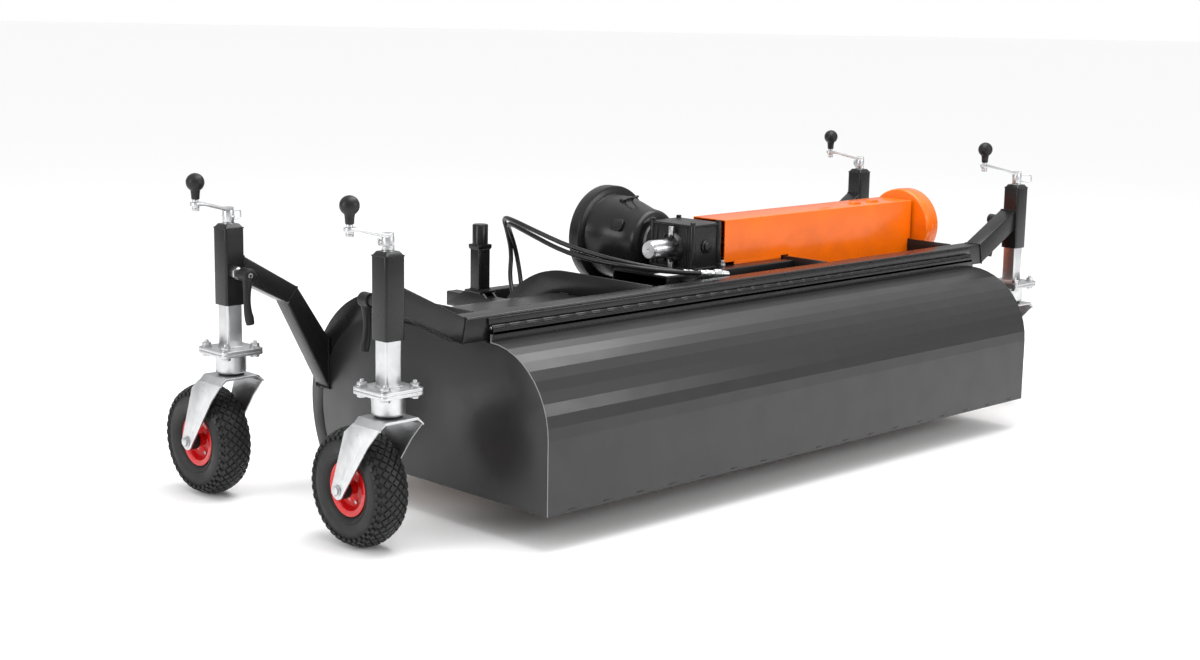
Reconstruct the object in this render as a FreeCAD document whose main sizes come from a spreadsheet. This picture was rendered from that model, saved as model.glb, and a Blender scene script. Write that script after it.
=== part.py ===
import FreeCAD, Part
import math
import os
import re
import Sketcher
from FreeCAD import Rotation, Vector

# A front-mounted lawn sweeper: a rotary brush under a welded hood with a hinged front flap, carried
# by four castors on screw-adjusted legs, and driven from a power take-off through a bevel gearbox,
# a cross shaft and a chain.  Millimetres.  X is the working width, -Y the front (flap) side, +Y the
# side of the carrier vehicle, +Z up and Z = 0 the ground.  Sizes below are in machine coordinates:
# X = 0 is the power take-off shaft and Y = 0 the front face of the beam.  shift_x and shift_y move
# every piece so that the origin is the bottom centre of the whole machine's box.

SIZES = {
    # whole machine
    "shift_x": 26, "shift_y": -366,
    # housing
    "half_width": 897, "sheet": 3, "plate": 5, "skirt": 81, "deck": 429,
    "flap_front": 198, "flap_radius": 185, "flap_gap": 1.5, "flap_top_y": -13,
    "hood_y": 357, "hood_z": 199, "hood_radius": 230,
    "rib_y": 357, "rib_z": 205, "rib_radius": 280, "rib_thick": 8, "inner_rib_x": 328,
    # beam, arms and posts
    "beam": 55, "beam_half": 953, "mitre": 11, "tube_wall": 4, "arm": 50,
    "hinge_y": -8, "hinge_z": 457, "knuckle_r": 6.5, "pin_r": 3, "fit": 0.05, "hinge_pitch": 99,
    "front_leg_x": 1148, "front_leg_y": 17, "rear_leg_x": 1152, "rear_leg_y": 586,
    "post": 50, "post_bore": 41, "post_low": 459, "post_high": 633, "post_cap": 642,
    "leg": 40, "leg_wall": 3, "leg_top": 545, "flange": 100, "flange_thick": 7.5,
    "flange_top": 361, "bolt_r": 5, "bolt_spread": 38.5,
    # castors
    "housing_r": 32.5, "housing_low": 301, "crown_top": 298, "crown_thick": 6, "shoulder": 15, "kingpin_r": 12,
    "trail": 100, "wheel_r": 130, "tyre_width": 85, "fork_inner": 54, "fork_thick": 4.5,
    "axle_r": 6, "rim_r": 61, "rim_bed": 50,
    # cranks and clamp levers
    "spindle_r": 8, "spindle_low": 470, "hub_r": 13, "hub_low": 643, "hub_top": 679,
    "crank_reach": 96, "crank_rise": 18, "crank_bar": 22, "crank_thick": 6, "stud_r": 4,
    "ball_r": 20.5, "ball_z": 741, "knob_low": 704,
    "clamp_z": 533, "clamp_r": 5, "lever_length": 112,
    # drive
    "drive_y": 255, "drive_z": 532, "shaft_r": 15, "gear_half": 52, "gear_front": 182,
    "gear_back": 328, "gear_low": 478, "gear_high": 596, "cap_r": 24, "cap_end": -137,
    "bridge_z": 478, "bridge_front": 160, "bridge_back": 352,
    "pto_r": 17.45, "pto_end": 446, "boss_r": 48, "bracket_r": 53,
    "bell_neck_y": 380, "bell_end_y": 550, "bell_neck_r": 84, "bell_rim_r": 132, "bell_wall": 4,
    "cover_left": 90, "cover_right": 894, "cover_front": 200, "cover_back": 311,
    "cover_top": 596, "cover_low": 487,
    "case_in": 903, "case_out": 960, "case_r": 103, "case_y": 252, "case_z": 520,
    "brush_y": 357, "brush_z": 245, "brush_r": 165, "core_r": 60, "brush_half": 872,
    "wafer_pitch": 36, "wafer_thick": 8,
    "small_sprocket_r": 33, "large_sprocket_r": 76, "chain_x": 925, "chain_width": 9,
    # hitch and hoses
    "hitch_x": 209, "hitch_y": 812, "hitch_low": 370, "hitch_collar": 484, "hitch_top": 548,
    "hitch_tube": 40, "stub_r": 21.2, "rail_top": 354, "rail_low": 314, "rail_end": 930,
    "union_top": 330, "union_x": 312, "union_front": 530, "union_back": 612,
    "hose_r": 6, "coupling_r": 9, "sleeve_r": 12, "stem": 24, "sleeve": 22, "nose": 20,
}

doc = FreeCAD.newDocument("lawn_sweeper")
sheet = doc.addObject("Spreadsheet::Sheet", "sizes")
for row, (alias, value) in enumerate(SIZES.items(), start=1):
    sheet.set("A%d" % row, alias)
    sheet.set("B%d" % row, str(value))
    sheet.setAlias("B%d" % row, alias)
doc.recompute()

nodes = []


# ---------------------------------------------------------------- helpers

def bound(text):
    """The expression with every size name read from the sheet."""
    return re.sub(r"[a-z][a-z0-9_]*",
                  lambda word: "sizes." + word[0] if word[0] in SIZES else word[0], str(text))


def number(text):
    """The value, in millimetres, of a size expression."""
    value = sheet.evalExpression(bound(text))
    return float(getattr(value, "Value", value))


def tie(feature, **sizes):
    for name, text in sizes.items():
        feature.setExpression(name, bound(text))


def spot(at):
    return Vector(*(number(c) for c in at))


def block(x0, x1, y0, y1, z0, z1):
    """A box between two corners, each given as size expressions."""
    box = doc.addObject("Part::Box", "block")
    tie(box, Length="(%s) - (%s)" % (x1, x0), Width="(%s) - (%s)" % (y1, y0),
        Height="(%s) - (%s)" % (z1, z0))
    box.Placement.Base = spot((x0, y0, z0))
    return box


TURN = {"X": Rotation(Vector(0, 1, 0), 90), "Y": Rotation(Vector(1, 0, 0), -90), "Z": Rotation()}


def rod(radius, length, at, along="Z"):
    """A round bar that starts at a point and runs along a positive axis."""
    bar = doc.addObject("Part::Cylinder", "rod")
    tie(bar, Radius=radius, Height=length)
    bar.Placement = FreeCAD.Placement(spot(at), TURN[along])
    return bar


def hexagon(across, length, at, along="Z"):
    """A hexagon bar: a bolt head or a nut."""
    bar = doc.addObject("Part::Prism", "hexagon")
    bar.Polygon = 6
    tie(bar, Circumradius="(%s) / 1.7320508" % across, Height=length)
    bar.Placement = FreeCAD.Placement(spot(at), TURN[along])
    return bar


def fuse(*shapes):
    joined = doc.addObject("Part::MultiFuse", "fuse")
    joined.Shapes = list(shapes)
    return joined


def cut(base, *tools):
    result = doc.addObject("Part::Cut", "cut")
    result.Base = base
    result.Tool = tools[0] if len(tools) == 1 else fuse(*tools)
    return result


def group(*shapes):
    """Separate solids that share one node."""
    kept = doc.addObject("Part::Compound", "group")
    kept.Links = list(shapes)
    return kept


def origin_plane(body, role):
    return [item for item in body.Origin.OriginFeatures if item.Role == role][0]


def pin_down(sketch, geometry, end, u, v, keep):
    """Fix one point of a sketch at size expressions; keep names the coordinates it fixes."""
    for letter, kind, axis, text in (("u", "DistanceX", -2, u), ("v", "DistanceY", -1, v)):
        if letter not in keep:
            continue
        value = number(text)
        if abs(value) < 1e-9:
            sketch.addConstraint(Sketcher.Constraint("PointOnObject", geometry, end, axis))
        else:
            index = sketch.addConstraint(Sketcher.Constraint(kind, geometry, end, value))
            sketch.setExpression("Constraints[%d]" % index, bound(text))


def draw(sketch, outline):
    """Draw a closed outline.

    Each corner is (u, v) or (u, v, keep) or (u, v, keep, (centre u, centre v, radius, way)).  The
    last form starts an arc to the next corner, way +1 turning left and -1 turning right.
    """
    corners = [tuple(corner) + ("uv", None)[len(corner) - 2:] for corner in outline]
    ends = []
    for index, (u, v, keep, arc) in enumerate(corners):
        after = corners[(index + 1) % len(corners)]
        start = Vector(number(u), number(v), 0)
        finish = Vector(number(after[0]), number(after[1]), 0)
        if arc is None:
            line = sketch.addGeometry(Part.LineSegment(start, finish), False)
            ends.append((line, 1, 2))
            continue
        centre = Vector(number(arc[0]), number(arc[1]), 0)
        first, last = (start, finish) if arc[3] > 0 else (finish, start)
        angles = [math.atan2(point.y - centre.y, point.x - centre.x) for point in (first, last)]
        circle = Part.Circle(centre, Vector(0, 0, 1), number(arc[2]))
        curve = sketch.addGeometry(Part.ArcOfCircle(circle, angles[0], angles[1]), False)
        ends.append((curve, 1, 2) if arc[3] > 0 else (curve, 2, 1))
    for before, here, (u, v, keep, arc) in zip(ends[-1:] + ends[:-1], ends, corners):
        sketch.addConstraint(Sketcher.Constraint("Coincident", before[0], before[2], here[0], here[1]))
        pin_down(sketch, here[0], here[1], u, v, keep)
        if arc is not None:
            pin_down(sketch, here[0], 3, arc[0], arc[1], "uv")
            size = sketch.addConstraint(Sketcher.Constraint("Radius", here[0], number(arc[2])))
            sketch.setExpression("Constraints[%d]" % size, bound(arc[2]))


def sketched_body(plane, outline):
    body = doc.addObject("PartDesign::Body", "body")
    sketch = body.newObject("Sketcher::SketchObject", "outline")
    sketch.AttachmentSupport = (origin_plane(body, plane), [""])
    sketch.MapMode = "FlatFace"
    draw(sketch, outline)
    return body, sketch


def plate(plane, outline, thickness, start):
    """A plate cut to an outline: on YZ_Plane it grows along +X from start, on XZ_Plane along +Y."""
    body, sketch = sketched_body(plane, outline)
    pad = body.newObject("PartDesign::Pad", "pad")
    pad.Profile = sketch
    tie(pad, Length=thickness)
    pad.Reversed = plane == "XZ_Plane"
    body.Placement.Base = spot((0, start, 0) if plane == "XZ_Plane" else (start, 0, 0))
    return body


def turned(outline, plane, axis):
    """A turned piece: the outline (u, v) of its section, revolved about the sketch's axis."""
    body, sketch = sketched_body(plane, outline)
    turn = body.newObject("PartDesign::Revolution", "turn")
    turn.Profile = sketch
    turn.ReferenceAxis = (sketch, [axis])
    turn.Angle = 360
    return body


def put(feature, x=0, y=0, z=0, turn=None):
    feature.Placement = FreeCAD.Placement(spot((x, y, z)), turn or Rotation())
    return feature


def node(label, feature):
    """Name a finished piece and move it from machine coordinates to the origin."""
    feature.Label = label
    place = feature.Placement
    place.Base = place.Base + spot(("shift_x", "shift_y", 0))
    feature.Placement = place
    nodes.append(feature)


def belt(y1, z1, r1, y2, z2, r2):
    """The outline round two circles: an upper one and a lower one, joined by their tangents."""
    down = Vector(number(y2) - number(y1), number(z2) - number(z1), 0)
    lean = math.acos((number(r1) - number(r2)) / down.Length)
    along = math.atan2(down.y, down.x)
    corners = []
    upper_circle, lower_circle = (y1, z1, r1), (y2, z2, r2)
    for side, (y, z, r) in ((1, upper_circle), (1, lower_circle), (-1, lower_circle),
                            (-1, upper_circle)):
        angle = along + side * lean
        u = "%s + (%s) * %.9f" % (y, r, math.cos(angle))
        v = "%s + (%s) * %.9f" % (z, r, math.sin(angle))
        corners.append((u, v))
    upper = (y1, z1, r1, -1)
    lower = (y2, z2, r2, -1)
    return [corners[0] + ("v", None), corners[1] + ("v", lower),
            corners[2] + ("v", None), corners[3] + ("v", upper)]


# ---------------------------------------------------------------- housing

def side_outline():
    """Outline (Y, Z) of a side plate: flap curve at the front, hood curve at the back."""
    front = "-(flap_front - sheet - flap_gap)"
    inner = "flap_radius - sheet - flap_gap"
    centre_z = "deck - flap_radius"
    return [(front, "skirt"), (front, centre_z, "v", ("flap_top_y", centre_z, inner, -1)),
            ("flap_top_y", "%s + %s" % (centre_z, inner), "u"), ("0", "%s + %s" % (centre_z, inner)),
            ("0", "deck"), ("hood_y", "deck", "u", ("hood_y", "hood_z", "hood_radius", -1)),
            ("hood_y + sqrt(hood_radius^2 - (hood_z - skirt)^2)", "skirt", "v")]


def hood_outline():
    """Section (Y, Z) of the hood sheet: flat deck, then the curve down over the brush."""
    inner = "hood_radius - sheet"
    drop = "(hood_z - skirt)"
    return [("0", "deck - sheet"), ("0", "deck"),
            ("hood_y", "deck", "u", ("hood_y", "hood_z", "hood_radius", -1)),
            ("hood_y + sqrt(hood_radius^2 - %s^2)" % drop, "skirt", "v"),
            ("hood_y + sqrt((%s)^2 - %s^2)" % (inner, drop), "skirt", "v",
             ("hood_y", "hood_z", inner, 1)),
            ("hood_y", "deck - sheet", "u")]


def rib_outline():
    """Stiffening rib (Y, Z): a crescent that stands on the hood sheet, level with the beam."""
    top = "rib_z + rib_radius"
    return [("beam + 2", "deck"), ("beam + 2", top),
            ("rib_y", top, "u", ("rib_y", "rib_z", "rib_radius", -1)),
            ("rib_y + sqrt(rib_radius^2 - (rib_z - skirt)^2)", "skirt", "v"),
            ("hood_y + sqrt(hood_radius^2 - (hood_z - skirt)^2)", "skirt", "v",
             ("hood_y", "hood_z", "hood_radius", 1)),
            ("hood_y", "deck", "u")]


def make_housing():
    for name, start in (("left_side_plate", "-half_width"), ("right_side_plate", "half_width - plate")):
        sheet_plate = plate("YZ_Plane", side_outline(), "plate", start)
        stub_hole = rod("large_sprocket_r / 4 + 4", "plate + 2",
                        ("(%s) - 1" % start, "brush_y", "brush_z"), "X")
        node(name, cut(sheet_plate, stub_hole))
    node("hood", plate("YZ_Plane", hood_outline(), "2 * (half_width - plate)", "-(half_width - plate)"))
    starts = ("-(half_width - plate)", "-inner_rib_x - rib_thick / 2", "inner_rib_x - rib_thick / 2",
              "half_width - plate - rib_thick")
    node("hood_ribs", group(*[plate("YZ_Plane", rib_outline(), "rib_thick", x) for x in starts]))


# ---------------------------------------------------------------- beam, flap and hinge

def hinge_count():
    return int(number("2 * half_width / hinge_pitch"))


def knuckles(first, bore, z_low, z_high, y_low, y_high):
    """Every second knuckle of the long hinge, each with the tab that carries it."""
    pieces = []
    for index in range(hinge_count()):
        x = "-half_width + 6 + %d * hinge_pitch + %s" % (index, first)
        length = "hinge_pitch / 2 - 1"
        tab = block(x, "%s + %s" % (x, length), y_low, y_high, z_low, z_high)
        barrel = rod("knuckle_r", length, (x, "hinge_y", "hinge_z"), "X")
        hole = rod(bore, "%s + 2" % length, ("%s - 1" % x, "hinge_y", "hinge_z"), "X")
        pieces.append(cut(fuse(tab, barrel), hole))
    return pieces


def make_beam():
    """The square beam, its ends cut to the arms' mitre, and its half of the hinge knuckles."""
    ends = [("-beam_half - mitre", "deck"), ("beam_half + mitre", "deck"),
            ("beam_half", "deck + beam"), ("-beam_half", "deck + beam")]
    tube = plate("XZ_Plane", ends, "beam", "0")
    bore = block("-beam_half - mitre - 1", "beam_half + mitre + 1", "tube_wall", "beam - tube_wall",
                 "deck + tube_wall", "deck + beam - tube_wall")
    half = knuckles("0", "pin_r", "hinge_z - 4", "hinge_z + 4", "hinge_y", "0.5")
    node("front_beam", fuse(cut(tube, bore), *half))


def flap_outline():
    """Section (Y, Z) of the flap: rail strip, curved sheet, straight skirt."""
    inner = "flap_radius - sheet"
    centre_z = "deck - flap_radius"
    front = "-flap_front"
    return [("flap_top_y", "deck - sheet", "u"), ("flap_top_y", "hinge_z - 12"),
            ("flap_top_y - sheet", "hinge_z - 12"),
            ("flap_top_y - sheet", "%s + sqrt(flap_radius^2 - sheet^2)" % centre_z, "u",
             ("flap_top_y", centre_z, "flap_radius", 1)),
            (front, centre_z, "v"), (front, "skirt"), ("%s + sheet" % front, "skirt"),
            ("%s + sheet" % front, centre_z, "v", ("flap_top_y", centre_z, inner, -1))]


def make_flap():
    skin = plate("YZ_Plane", flap_outline(), "2 * half_width", "-half_width")
    rail = block("-half_width + 5", "half_width - 5", "flap_top_y - 8", "flap_top_y - sheet / 2",
                 "deck - 4", "hinge_z - 12")
    half = knuckles("hinge_pitch / 2", "pin_r + fit", "hinge_z - 14", "hinge_z",
                    "hinge_y - knuckle_r", "hinge_y - 1")
    node("flap", fuse(skin, rail, *half))
    node("hinge_pin", rod("pin_r", "2 * half_width - 8", ("-half_width + 4", "hinge_y", "hinge_z"), "X"))


# ---------------------------------------------------------------- arms and posts

CORNERS = {  # side, end, crank angle at rest
    "front_left": (-1, "front", 180), "front_right": (1, "front", 138),
    "rear_left": (-1, "rear", 190), "rear_right": (1, "rear", 145),
}


def leg_place(corner):
    side, end, angle = CORNERS[corner]
    return "%d * %s_leg_x" % (side, end), "%s_leg_y" % end


def arm_outline(end):
    """Front view (X, Z) of the left arm as (outer corners, inner corners of the tube)."""
    face = "-(%s_leg_x - post / 2)" % end
    if end == "front":
        return [("-beam_half", "deck + beam"), (face, "deck + 139"), (face, "deck + 81"),
                ("-beam_half - mitre", "deck")]
    return [("-half_width", "deck - 74"), ("-half_width - 88", "deck + 57"),
            (face, "deck + 139"), (face, "deck + 80"), ("-half_width - 115", "deck + 21"),
            ("-half_width", "deck - 196")]


def inset(corners, wall):
    """The same outline with its long sides moved in by the wall, and its two ends left in place."""
    points = [Vector(number(u), number(v), 0) for u, v in corners]
    half = len(points) // 2
    moved = []
    for run in (points[:half], points[half:]):
        shifted = []
        for index, point in enumerate(run):
            towards = []
            before = max(index - 1, 0)
            for first, last in zip(run[before:], run[before + 1:index + 2]):
                side = (last - first).normalize()
                towards.append(Vector(-side.y, side.x, 0))
            normal = sum(towards[1:], towards[0]).normalize()
            reach = number(wall) / normal.dot(towards[0])
            shifted.append(point + normal * reach)
        moved.append(shifted)
    upper, lower = moved
    ends = ((upper[0], lower[-1], points[0], points[-1]),
            (upper[-1], lower[0], points[half - 1], points[half]))
    for first, last, a, b in ends:
        along = (b - a).normalize()
        for corner in (first, last):
            onto = a + along * (corner - a).dot(along)
            corner.x, corner.y = onto.x, onto.y
    return upper + lower


def make_arm(corner):
    """An arm and its post: post tube, chamfered cap with the spindle's bearing, and clamp nut."""
    side, end, angle = CORNERS[corner]
    x, y = leg_place(corner)
    start = {"front": "0", "rear": "rear_leg_y - arm / 2"}[end]
    outer = arm_outline(end)
    inner = [("%.6f" % p.x, "%.6f" % p.y) for p in inset(outer, "tube_wall")]
    if side > 0:
        outer = [("-(%s)" % u, v) for u, v in outer]
        inner = [("-(%s)" % u, v) for u, v in inner]
    tube = cut(plate("XZ_Plane", outer, "arm", start),
               plate("XZ_Plane", inner, "arm - 2 * tube_wall", "%s + tube_wall" % start))
    post = block("%s - post / 2" % x, "%s + post / 2" % x, "%s - post / 2" % y, "%s + post / 2" % y,
                 "post_low", "post_high")
    cap = doc.addObject("Part::Wedge", "cap")
    tie(cap, Xmin="0", Xmax="post", Zmin="0", Zmax="post", Ymin="0", Ymax="post_cap - post_high",
        X2min="7", X2max="post - 7", Z2min="7", Z2max="post - 7")
    cap.Placement = FreeCAD.Placement(spot(("%s - post / 2" % x, "%s + post / 2" % y, "post_high")),
                                      Rotation(Vector(1, 0, 0), 90))
    well = block("%s - post_bore / 2" % x, "%s + post_bore / 2" % x, "%s - post_bore / 2" % y,
                 "%s + post_bore / 2" % y, "post_low - 1", "post_high - 6")
    spindle_hole = rod("spindle_r + fit", "30", (x, y, "post_cap - 20"))
    face_y = "%s + post / 2" % y if end == "front" else "%s - post / 2 - 12" % y
    boss = hexagon("26", "12", (x, face_y, "clamp_z"), "Y")
    stud_y = "%s + post_bore / 2 - 2" % y if end == "front" else "%s - post / 2 - 14" % y
    stud_hole = rod("clamp_r + fit", "post / 2 - post_bore / 2 + 20", (x, stud_y, "clamp_z"), "Y")
    node(corner + "_arm", cut(fuse(tube, post, cap, boss), well, spindle_hole, stud_hole))


# ---------------------------------------------------------------- legs and castors

def bolt_spots(x, y):
    return [("%s + %d * bolt_spread" % (x, i), "%s + %d * bolt_spread" % (y, j))
            for i in (-1, 1) for j in (-1, 1)]


def square(x, y, size, z0, z1):
    half = "(%s) / 2" % size
    return block("%s - %s" % (x, half), "%s + %s" % (x, half), "%s - %s" % (y, half),
                 "%s + %s" % (y, half), z0, z1)


def make_leg(corner):
    """The sliding leg: square tube, bolting flange below and the spindle's nut at the top."""
    x, y = leg_place(corner)
    tube = cut(square(x, y, "leg", "flange_top - 1", "leg_top"),
               square(x, y, "leg - 2 * leg_wall", "flange_top", "leg_top + 1"))
    nut = square(x, y, "leg - leg_wall", "leg_top - 25", "leg_top")
    flange = square(x, y, "flange", "flange_top - flange_thick", "flange_top")
    holes = [rod("bolt_r + 0.5", "flange_thick + 2", (bx, by, "flange_top - flange_thick - 1"))
             for bx, by in bolt_spots(x, y)]
    nut_hole = rod("spindle_r + fit", "40", (x, y, "leg_top - 32"))
    node(corner + "_leg", cut(fuse(tube, nut, flange), nut_hole, *holes))


def make_castor_head(corner):
    """The castor's plate and bearing housing, with the four bolts that hold it to the leg."""
    x, y = leg_place(corner)
    low = "flange_top - 2 * flange_thick"
    body = fuse(square(x, y, "flange", low, "flange_top - flange_thick"),
                rod("housing_r", "%s - housing_low + 1" % low, (x, y, "housing_low")))
    bore = rod("kingpin_r + fit", "flange_top - housing_low", (x, y, "housing_low - 1"))
    holes = [rod("bolt_r + 0.5", "flange_thick + 2", (bx, by, "%s - 1" % low))
             for bx, by in bolt_spots(x, y)]
    bolts = []
    for bx, by in bolt_spots(x, y):
        shank = rod("bolt_r", "34", (bx, by, "%s - 3" % low))
        head = hexagon("17", "6.5", (bx, by, "%s - 6.5" % low))
        nut = hexagon("17", "9", (bx, by, "flange_top"))
        bolts.append(fuse(shank, head, nut))
    node(corner + "_castor_head", group(cut(body, bore, *holes), *bolts))


def fork_outline():
    """Side view (Y, Z) of a fork leg, from the crown down and back to the axle."""
    top, reach = "crown_top - shoulder + 1", "20"
    return [("-45", top), ("45", top), ("trail - 24", "wheel_r + 132"),
            ("trail + %s" % reach, "wheel_r", "v", ("trail", "wheel_r", reach, -1)),
            ("trail - 19", "wheel_r - 6.2449980", "v"), ("-6", "wheel_r + 112")]


def make_fork(corner):
    """The swivelling fork: kingpin, crown and two legs, with the wheel's axle bolt."""
    x, y = leg_place(corner)
    outer = "(fork_inner + fork_thick)"
    legs = [put(plate("YZ_Plane", fork_outline(), "fork_thick", 0), x_side, y)
            for x_side in ("%s - %s" % (x, outer), "%s + fork_inner" % x)]
    low, under = "crown_top - shoulder", "crown_top - crown_thick"
    right = [(outer, low), ("fork_inner", low), ("%s - shoulder - 2" % outer, under)]
    left = [("-%s" % u, v) for u, v in reversed(right)]
    left[0] = ("-%s + shoulder + 2" % outer, under)
    ridge = [("-%s + shoulder" % outer, "crown_top"), ("%s - shoulder" % outer, "crown_top")]
    crown = put(plate("XZ_Plane", right + left + ridge, "90", "0"), x, "%s - 45" % y)
    boss = rod("24", "housing_low - crown_top - 0.5", (x, y, "crown_top"))
    kingpin = rod("kingpin_r", "flange_top - flange_thick - crown_top - 1", (x, y, "crown_top - 1"))
    hub = (x, "%s + trail" % y, "wheel_r")
    holes = rod("axle_r + 0.2", "2 * %s + 2" % outer, ("%s - %s - 1" % (x, outer), hub[1], hub[2]), "X")
    frame = cut(fuse(crown, boss, kingpin, *legs), holes)
    shank = rod("axle_r", "2 * %s + 16" % outer, ("%s - %s - 3" % (x, outer), hub[1], hub[2]), "X")
    head = hexagon("19", "8", ("%s - %s - 8" % (x, outer), hub[1], hub[2]), "X")
    nut = hexagon("19", "10", ("%s + %s" % (x, outer), hub[1], hub[2]), "X")
    node(corner + "_fork", group(frame, fuse(shank, head, nut)))


def rim_section():
    """Half section (X, R) of the pressed rim with its hub tube."""
    half = [("fork_inner - 1.5", "axle_r + fit"), ("fork_inner - 1.5", "15"), ("12", "15"),
            ("12", "19"), ("5", "26"), ("5", "rim_bed - 4"), ("31", "rim_bed - 4"), ("31", "rim_r"),
            ("27", "rim_r"), ("27", "rim_bed")]
    return half + [("-(%s)" % u, v) for u, v in reversed(half)]


def tyre_section():
    """Half section (X, R) of the tyre: tread, shoulders, walls and beads, open at the rim."""
    side = "tyre_width / 2"
    half = [("15", "rim_bed"), ("26.5", "rim_bed"), ("26.5", "rim_r + 1"), ("%s - 5" % side, "rim_r + 6"),
            (side, "wheel_r - 48"), (side, "wheel_r - 26"), ("%s - 7" % side, "wheel_r - 9"),
            ("%s - 22" % side, "wheel_r")]
    inner = [("%s - 22" % side, "wheel_r - 12"), ("%s - 11" % side, "wheel_r - 24"),
             ("%s - 9" % side, "wheel_r - 48"), ("15", "rim_r + 6")]
    return (half + [("-(%s)" % u, v) for u, v in reversed(half)]
            + [("-(%s)" % u, v) for u, v in reversed(inner)] + inner)


def make_wheel(corner):
    x, y = leg_place(corner)
    for name, section in (("_rim", rim_section()), ("_tyre", tyre_section())):
        wheel = turned(section, "XY_Plane", "H_Axis")
        node(corner + name, put(wheel, x, "%s + trail" % y, "wheel_r"))


# ---------------------------------------------------------------- cranks and clamp levers

def make_crank(corner):
    """The crank that turns the leg's screw: spindle, hub, sloping bar and the knob's stud."""
    x, y = leg_place(corner)
    level = "hub_top - crank_thick"
    bar_side = [("-hub_r + 1", level), ("hub_r", level), ("crank_reach - 14", "%s + crank_rise" % level),
                ("crank_reach + 12", "%s + crank_rise" % level),
                ("crank_reach + 12", "hub_top + crank_rise"), ("crank_reach - 14", "hub_top + crank_rise"),
                ("hub_r", "hub_top"), ("-hub_r + 1", "hub_top")]
    bar = plate("XZ_Plane", bar_side, "crank_bar", "-crank_bar / 2")
    spindle = rod("spindle_r", "hub_low - spindle_low + 5", (0, 0, "spindle_low"))
    hub = rod("hub_r", "hub_top - hub_low - 1", (0, 0, "hub_low"))
    stud = rod("stud_r", "ball_z - hub_top - crank_rise + 6", ("crank_reach", 0, "hub_top + crank_rise - 6"))
    head = hexagon("13", "6", ("crank_reach", 0, "%s + crank_rise - 6" % level))
    pin = rod("3", "36", (0, "-18", "hub_low + 15"), "Y")
    turn = Rotation(Vector(0, 0, 1), CORNERS[corner][2])
    node(corner + "_crank", put(fuse(bar, spindle, hub, stud, head, pin), x, y, 0, turn))


def make_knob(corner):
    """The ball knob, free to spin on the crank's stud."""
    x, y = leg_place(corner)
    ball = doc.addObject("Part::Sphere", "ball")
    tie(ball, Radius="ball_r")
    ball.Placement.Base = spot(("crank_reach", 0, "ball_z"))
    neck = doc.addObject("Part::Cone", "neck")
    tie(neck, Radius1="9", Radius2="13", Height="ball_z - knob_low - 10")
    neck.Placement.Base = spot(("crank_reach", 0, "knob_low"))
    bore = rod("stud_r + fit", "ball_z - knob_low + 2", ("crank_reach", 0, "knob_low - 1"))
    turn = Rotation(Vector(0, 0, 1), CORNERS[corner][2])
    node(corner + "_crank_knob", put(cut(fuse(ball, neck), bore), x, y, 0, turn))


def make_lever(corner):
    """The clamp lever: threaded stud, round hub and the hanging handle."""
    side, end, angle = CORNERS[corner]
    x, y = leg_place(corner)
    way = 1 if end == "front" else -1
    lever_side = [("-9", "-4"), ("9", "-4"), ("13", "-lever_length + 9"), ("8", "-lever_length"),
                  ("-3", "-lever_length"), ("-7", "-lever_length + 9")]
    handle = plate("XZ_Plane", lever_side, "11", "post / 2 + 42")
    hub = rod("14", "30", (0, "post / 2 + 24", 0), "Y")
    stud = rod("clamp_r", "post / 2 - leg / 2 + 28", (0, "leg / 2 + 0.3", 0), "Y")
    turn = Rotation(Vector(0, 0, 1), 0 if way > 0 else 180)
    node(corner + "_clamp_lever", put(fuse(handle, hub, stud), x, y, "clamp_z", turn))


# ---------------------------------------------------------------- drive

def make_gearbox():
    """The bevel gearbox: cored case with flanged bosses, corner bolts and a filler plug."""
    deep = "gear_back - gear_front"
    case = block("-gear_half", "gear_half", "gear_front", "gear_back", "gear_low", "gear_high")
    boss_left = rod("46", "14", ("-gear_half - 12", "drive_y", "drive_z"), "X")
    boss_right = rod("46", "14", ("gear_half - 2", "drive_y", "drive_z"), "X")
    boss_pto = rod("boss_r", "34", (0, "gear_back - 2", "drive_z"), "Y")
    core = block("-gear_half + 9", "gear_half - 9", "gear_front + 9", "gear_back - 9",
                 "gear_low + 9", "gear_high - 9")
    shaft_bore = rod("shaft_r + fit", "300", ("-gear_half - 40", "drive_y", "drive_z"), "X")
    pto_bore = rod("pto_r + fit", "90", (0, "gear_back - 12", "drive_z"), "Y")
    plug = hexagon("22", "8", (0, "gear_front - 7", "drive_z + 6"), "Y")
    bolts = []
    for i in (-1, 1):
        for j in (-1, 1):
            bx = "%d * (gear_half - 4)" % i
            by = "(gear_front + gear_back) / 2 + %d * (%s) / 2 - %d * 4" % (j, deep, j)
            bolts.append(rod("7", "gear_high - gear_low - 0.5", (bx, by, "gear_low + 0.5")))
            bolts.append(hexagon("13", "7", (bx, by, "gear_high - 1")))
    node("gearbox", cut(fuse(case, boss_left, boss_right, boss_pto, plug, *bolts),
                        core, shaft_bore, pto_bore))


def make_shaft_cap():
    """The plain cap over the unused end of the cross shaft."""
    cap = rod("cap_r", "-gear_half - 12 - cap_end", ("cap_end", "drive_y", "drive_z"), "X")
    bore = rod("shaft_r + 1", "-gear_half - 12 - cap_end", ("cap_end + 6", "drive_y", "drive_z"), "X")
    node("shaft_cap", cut(cap, bore))


def make_bridge():
    """The channel that carries the gearbox and cover across the deck."""
    top = block("-inner_rib_x / 2", "inner_rib_x - rib_thick / 2", "bridge_front", "bridge_back",
                "bridge_z - plate", "bridge_z")
    front = block("-inner_rib_x / 2", "inner_rib_x - rib_thick / 2", "bridge_front",
                  "bridge_front + plate", "deck", "bridge_z")
    back = block("-inner_rib_x / 2", "inner_rib_x - rib_thick / 2", "bridge_back - plate",
                 "bridge_back", "deck", "bridge_z")
    shelf = block("-118", "14", "78", "bridge_front + 1", "bridge_z - 16", "bridge_z - 12")
    node("gearbox_bridge", fuse(top, front, back, shelf))


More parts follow.
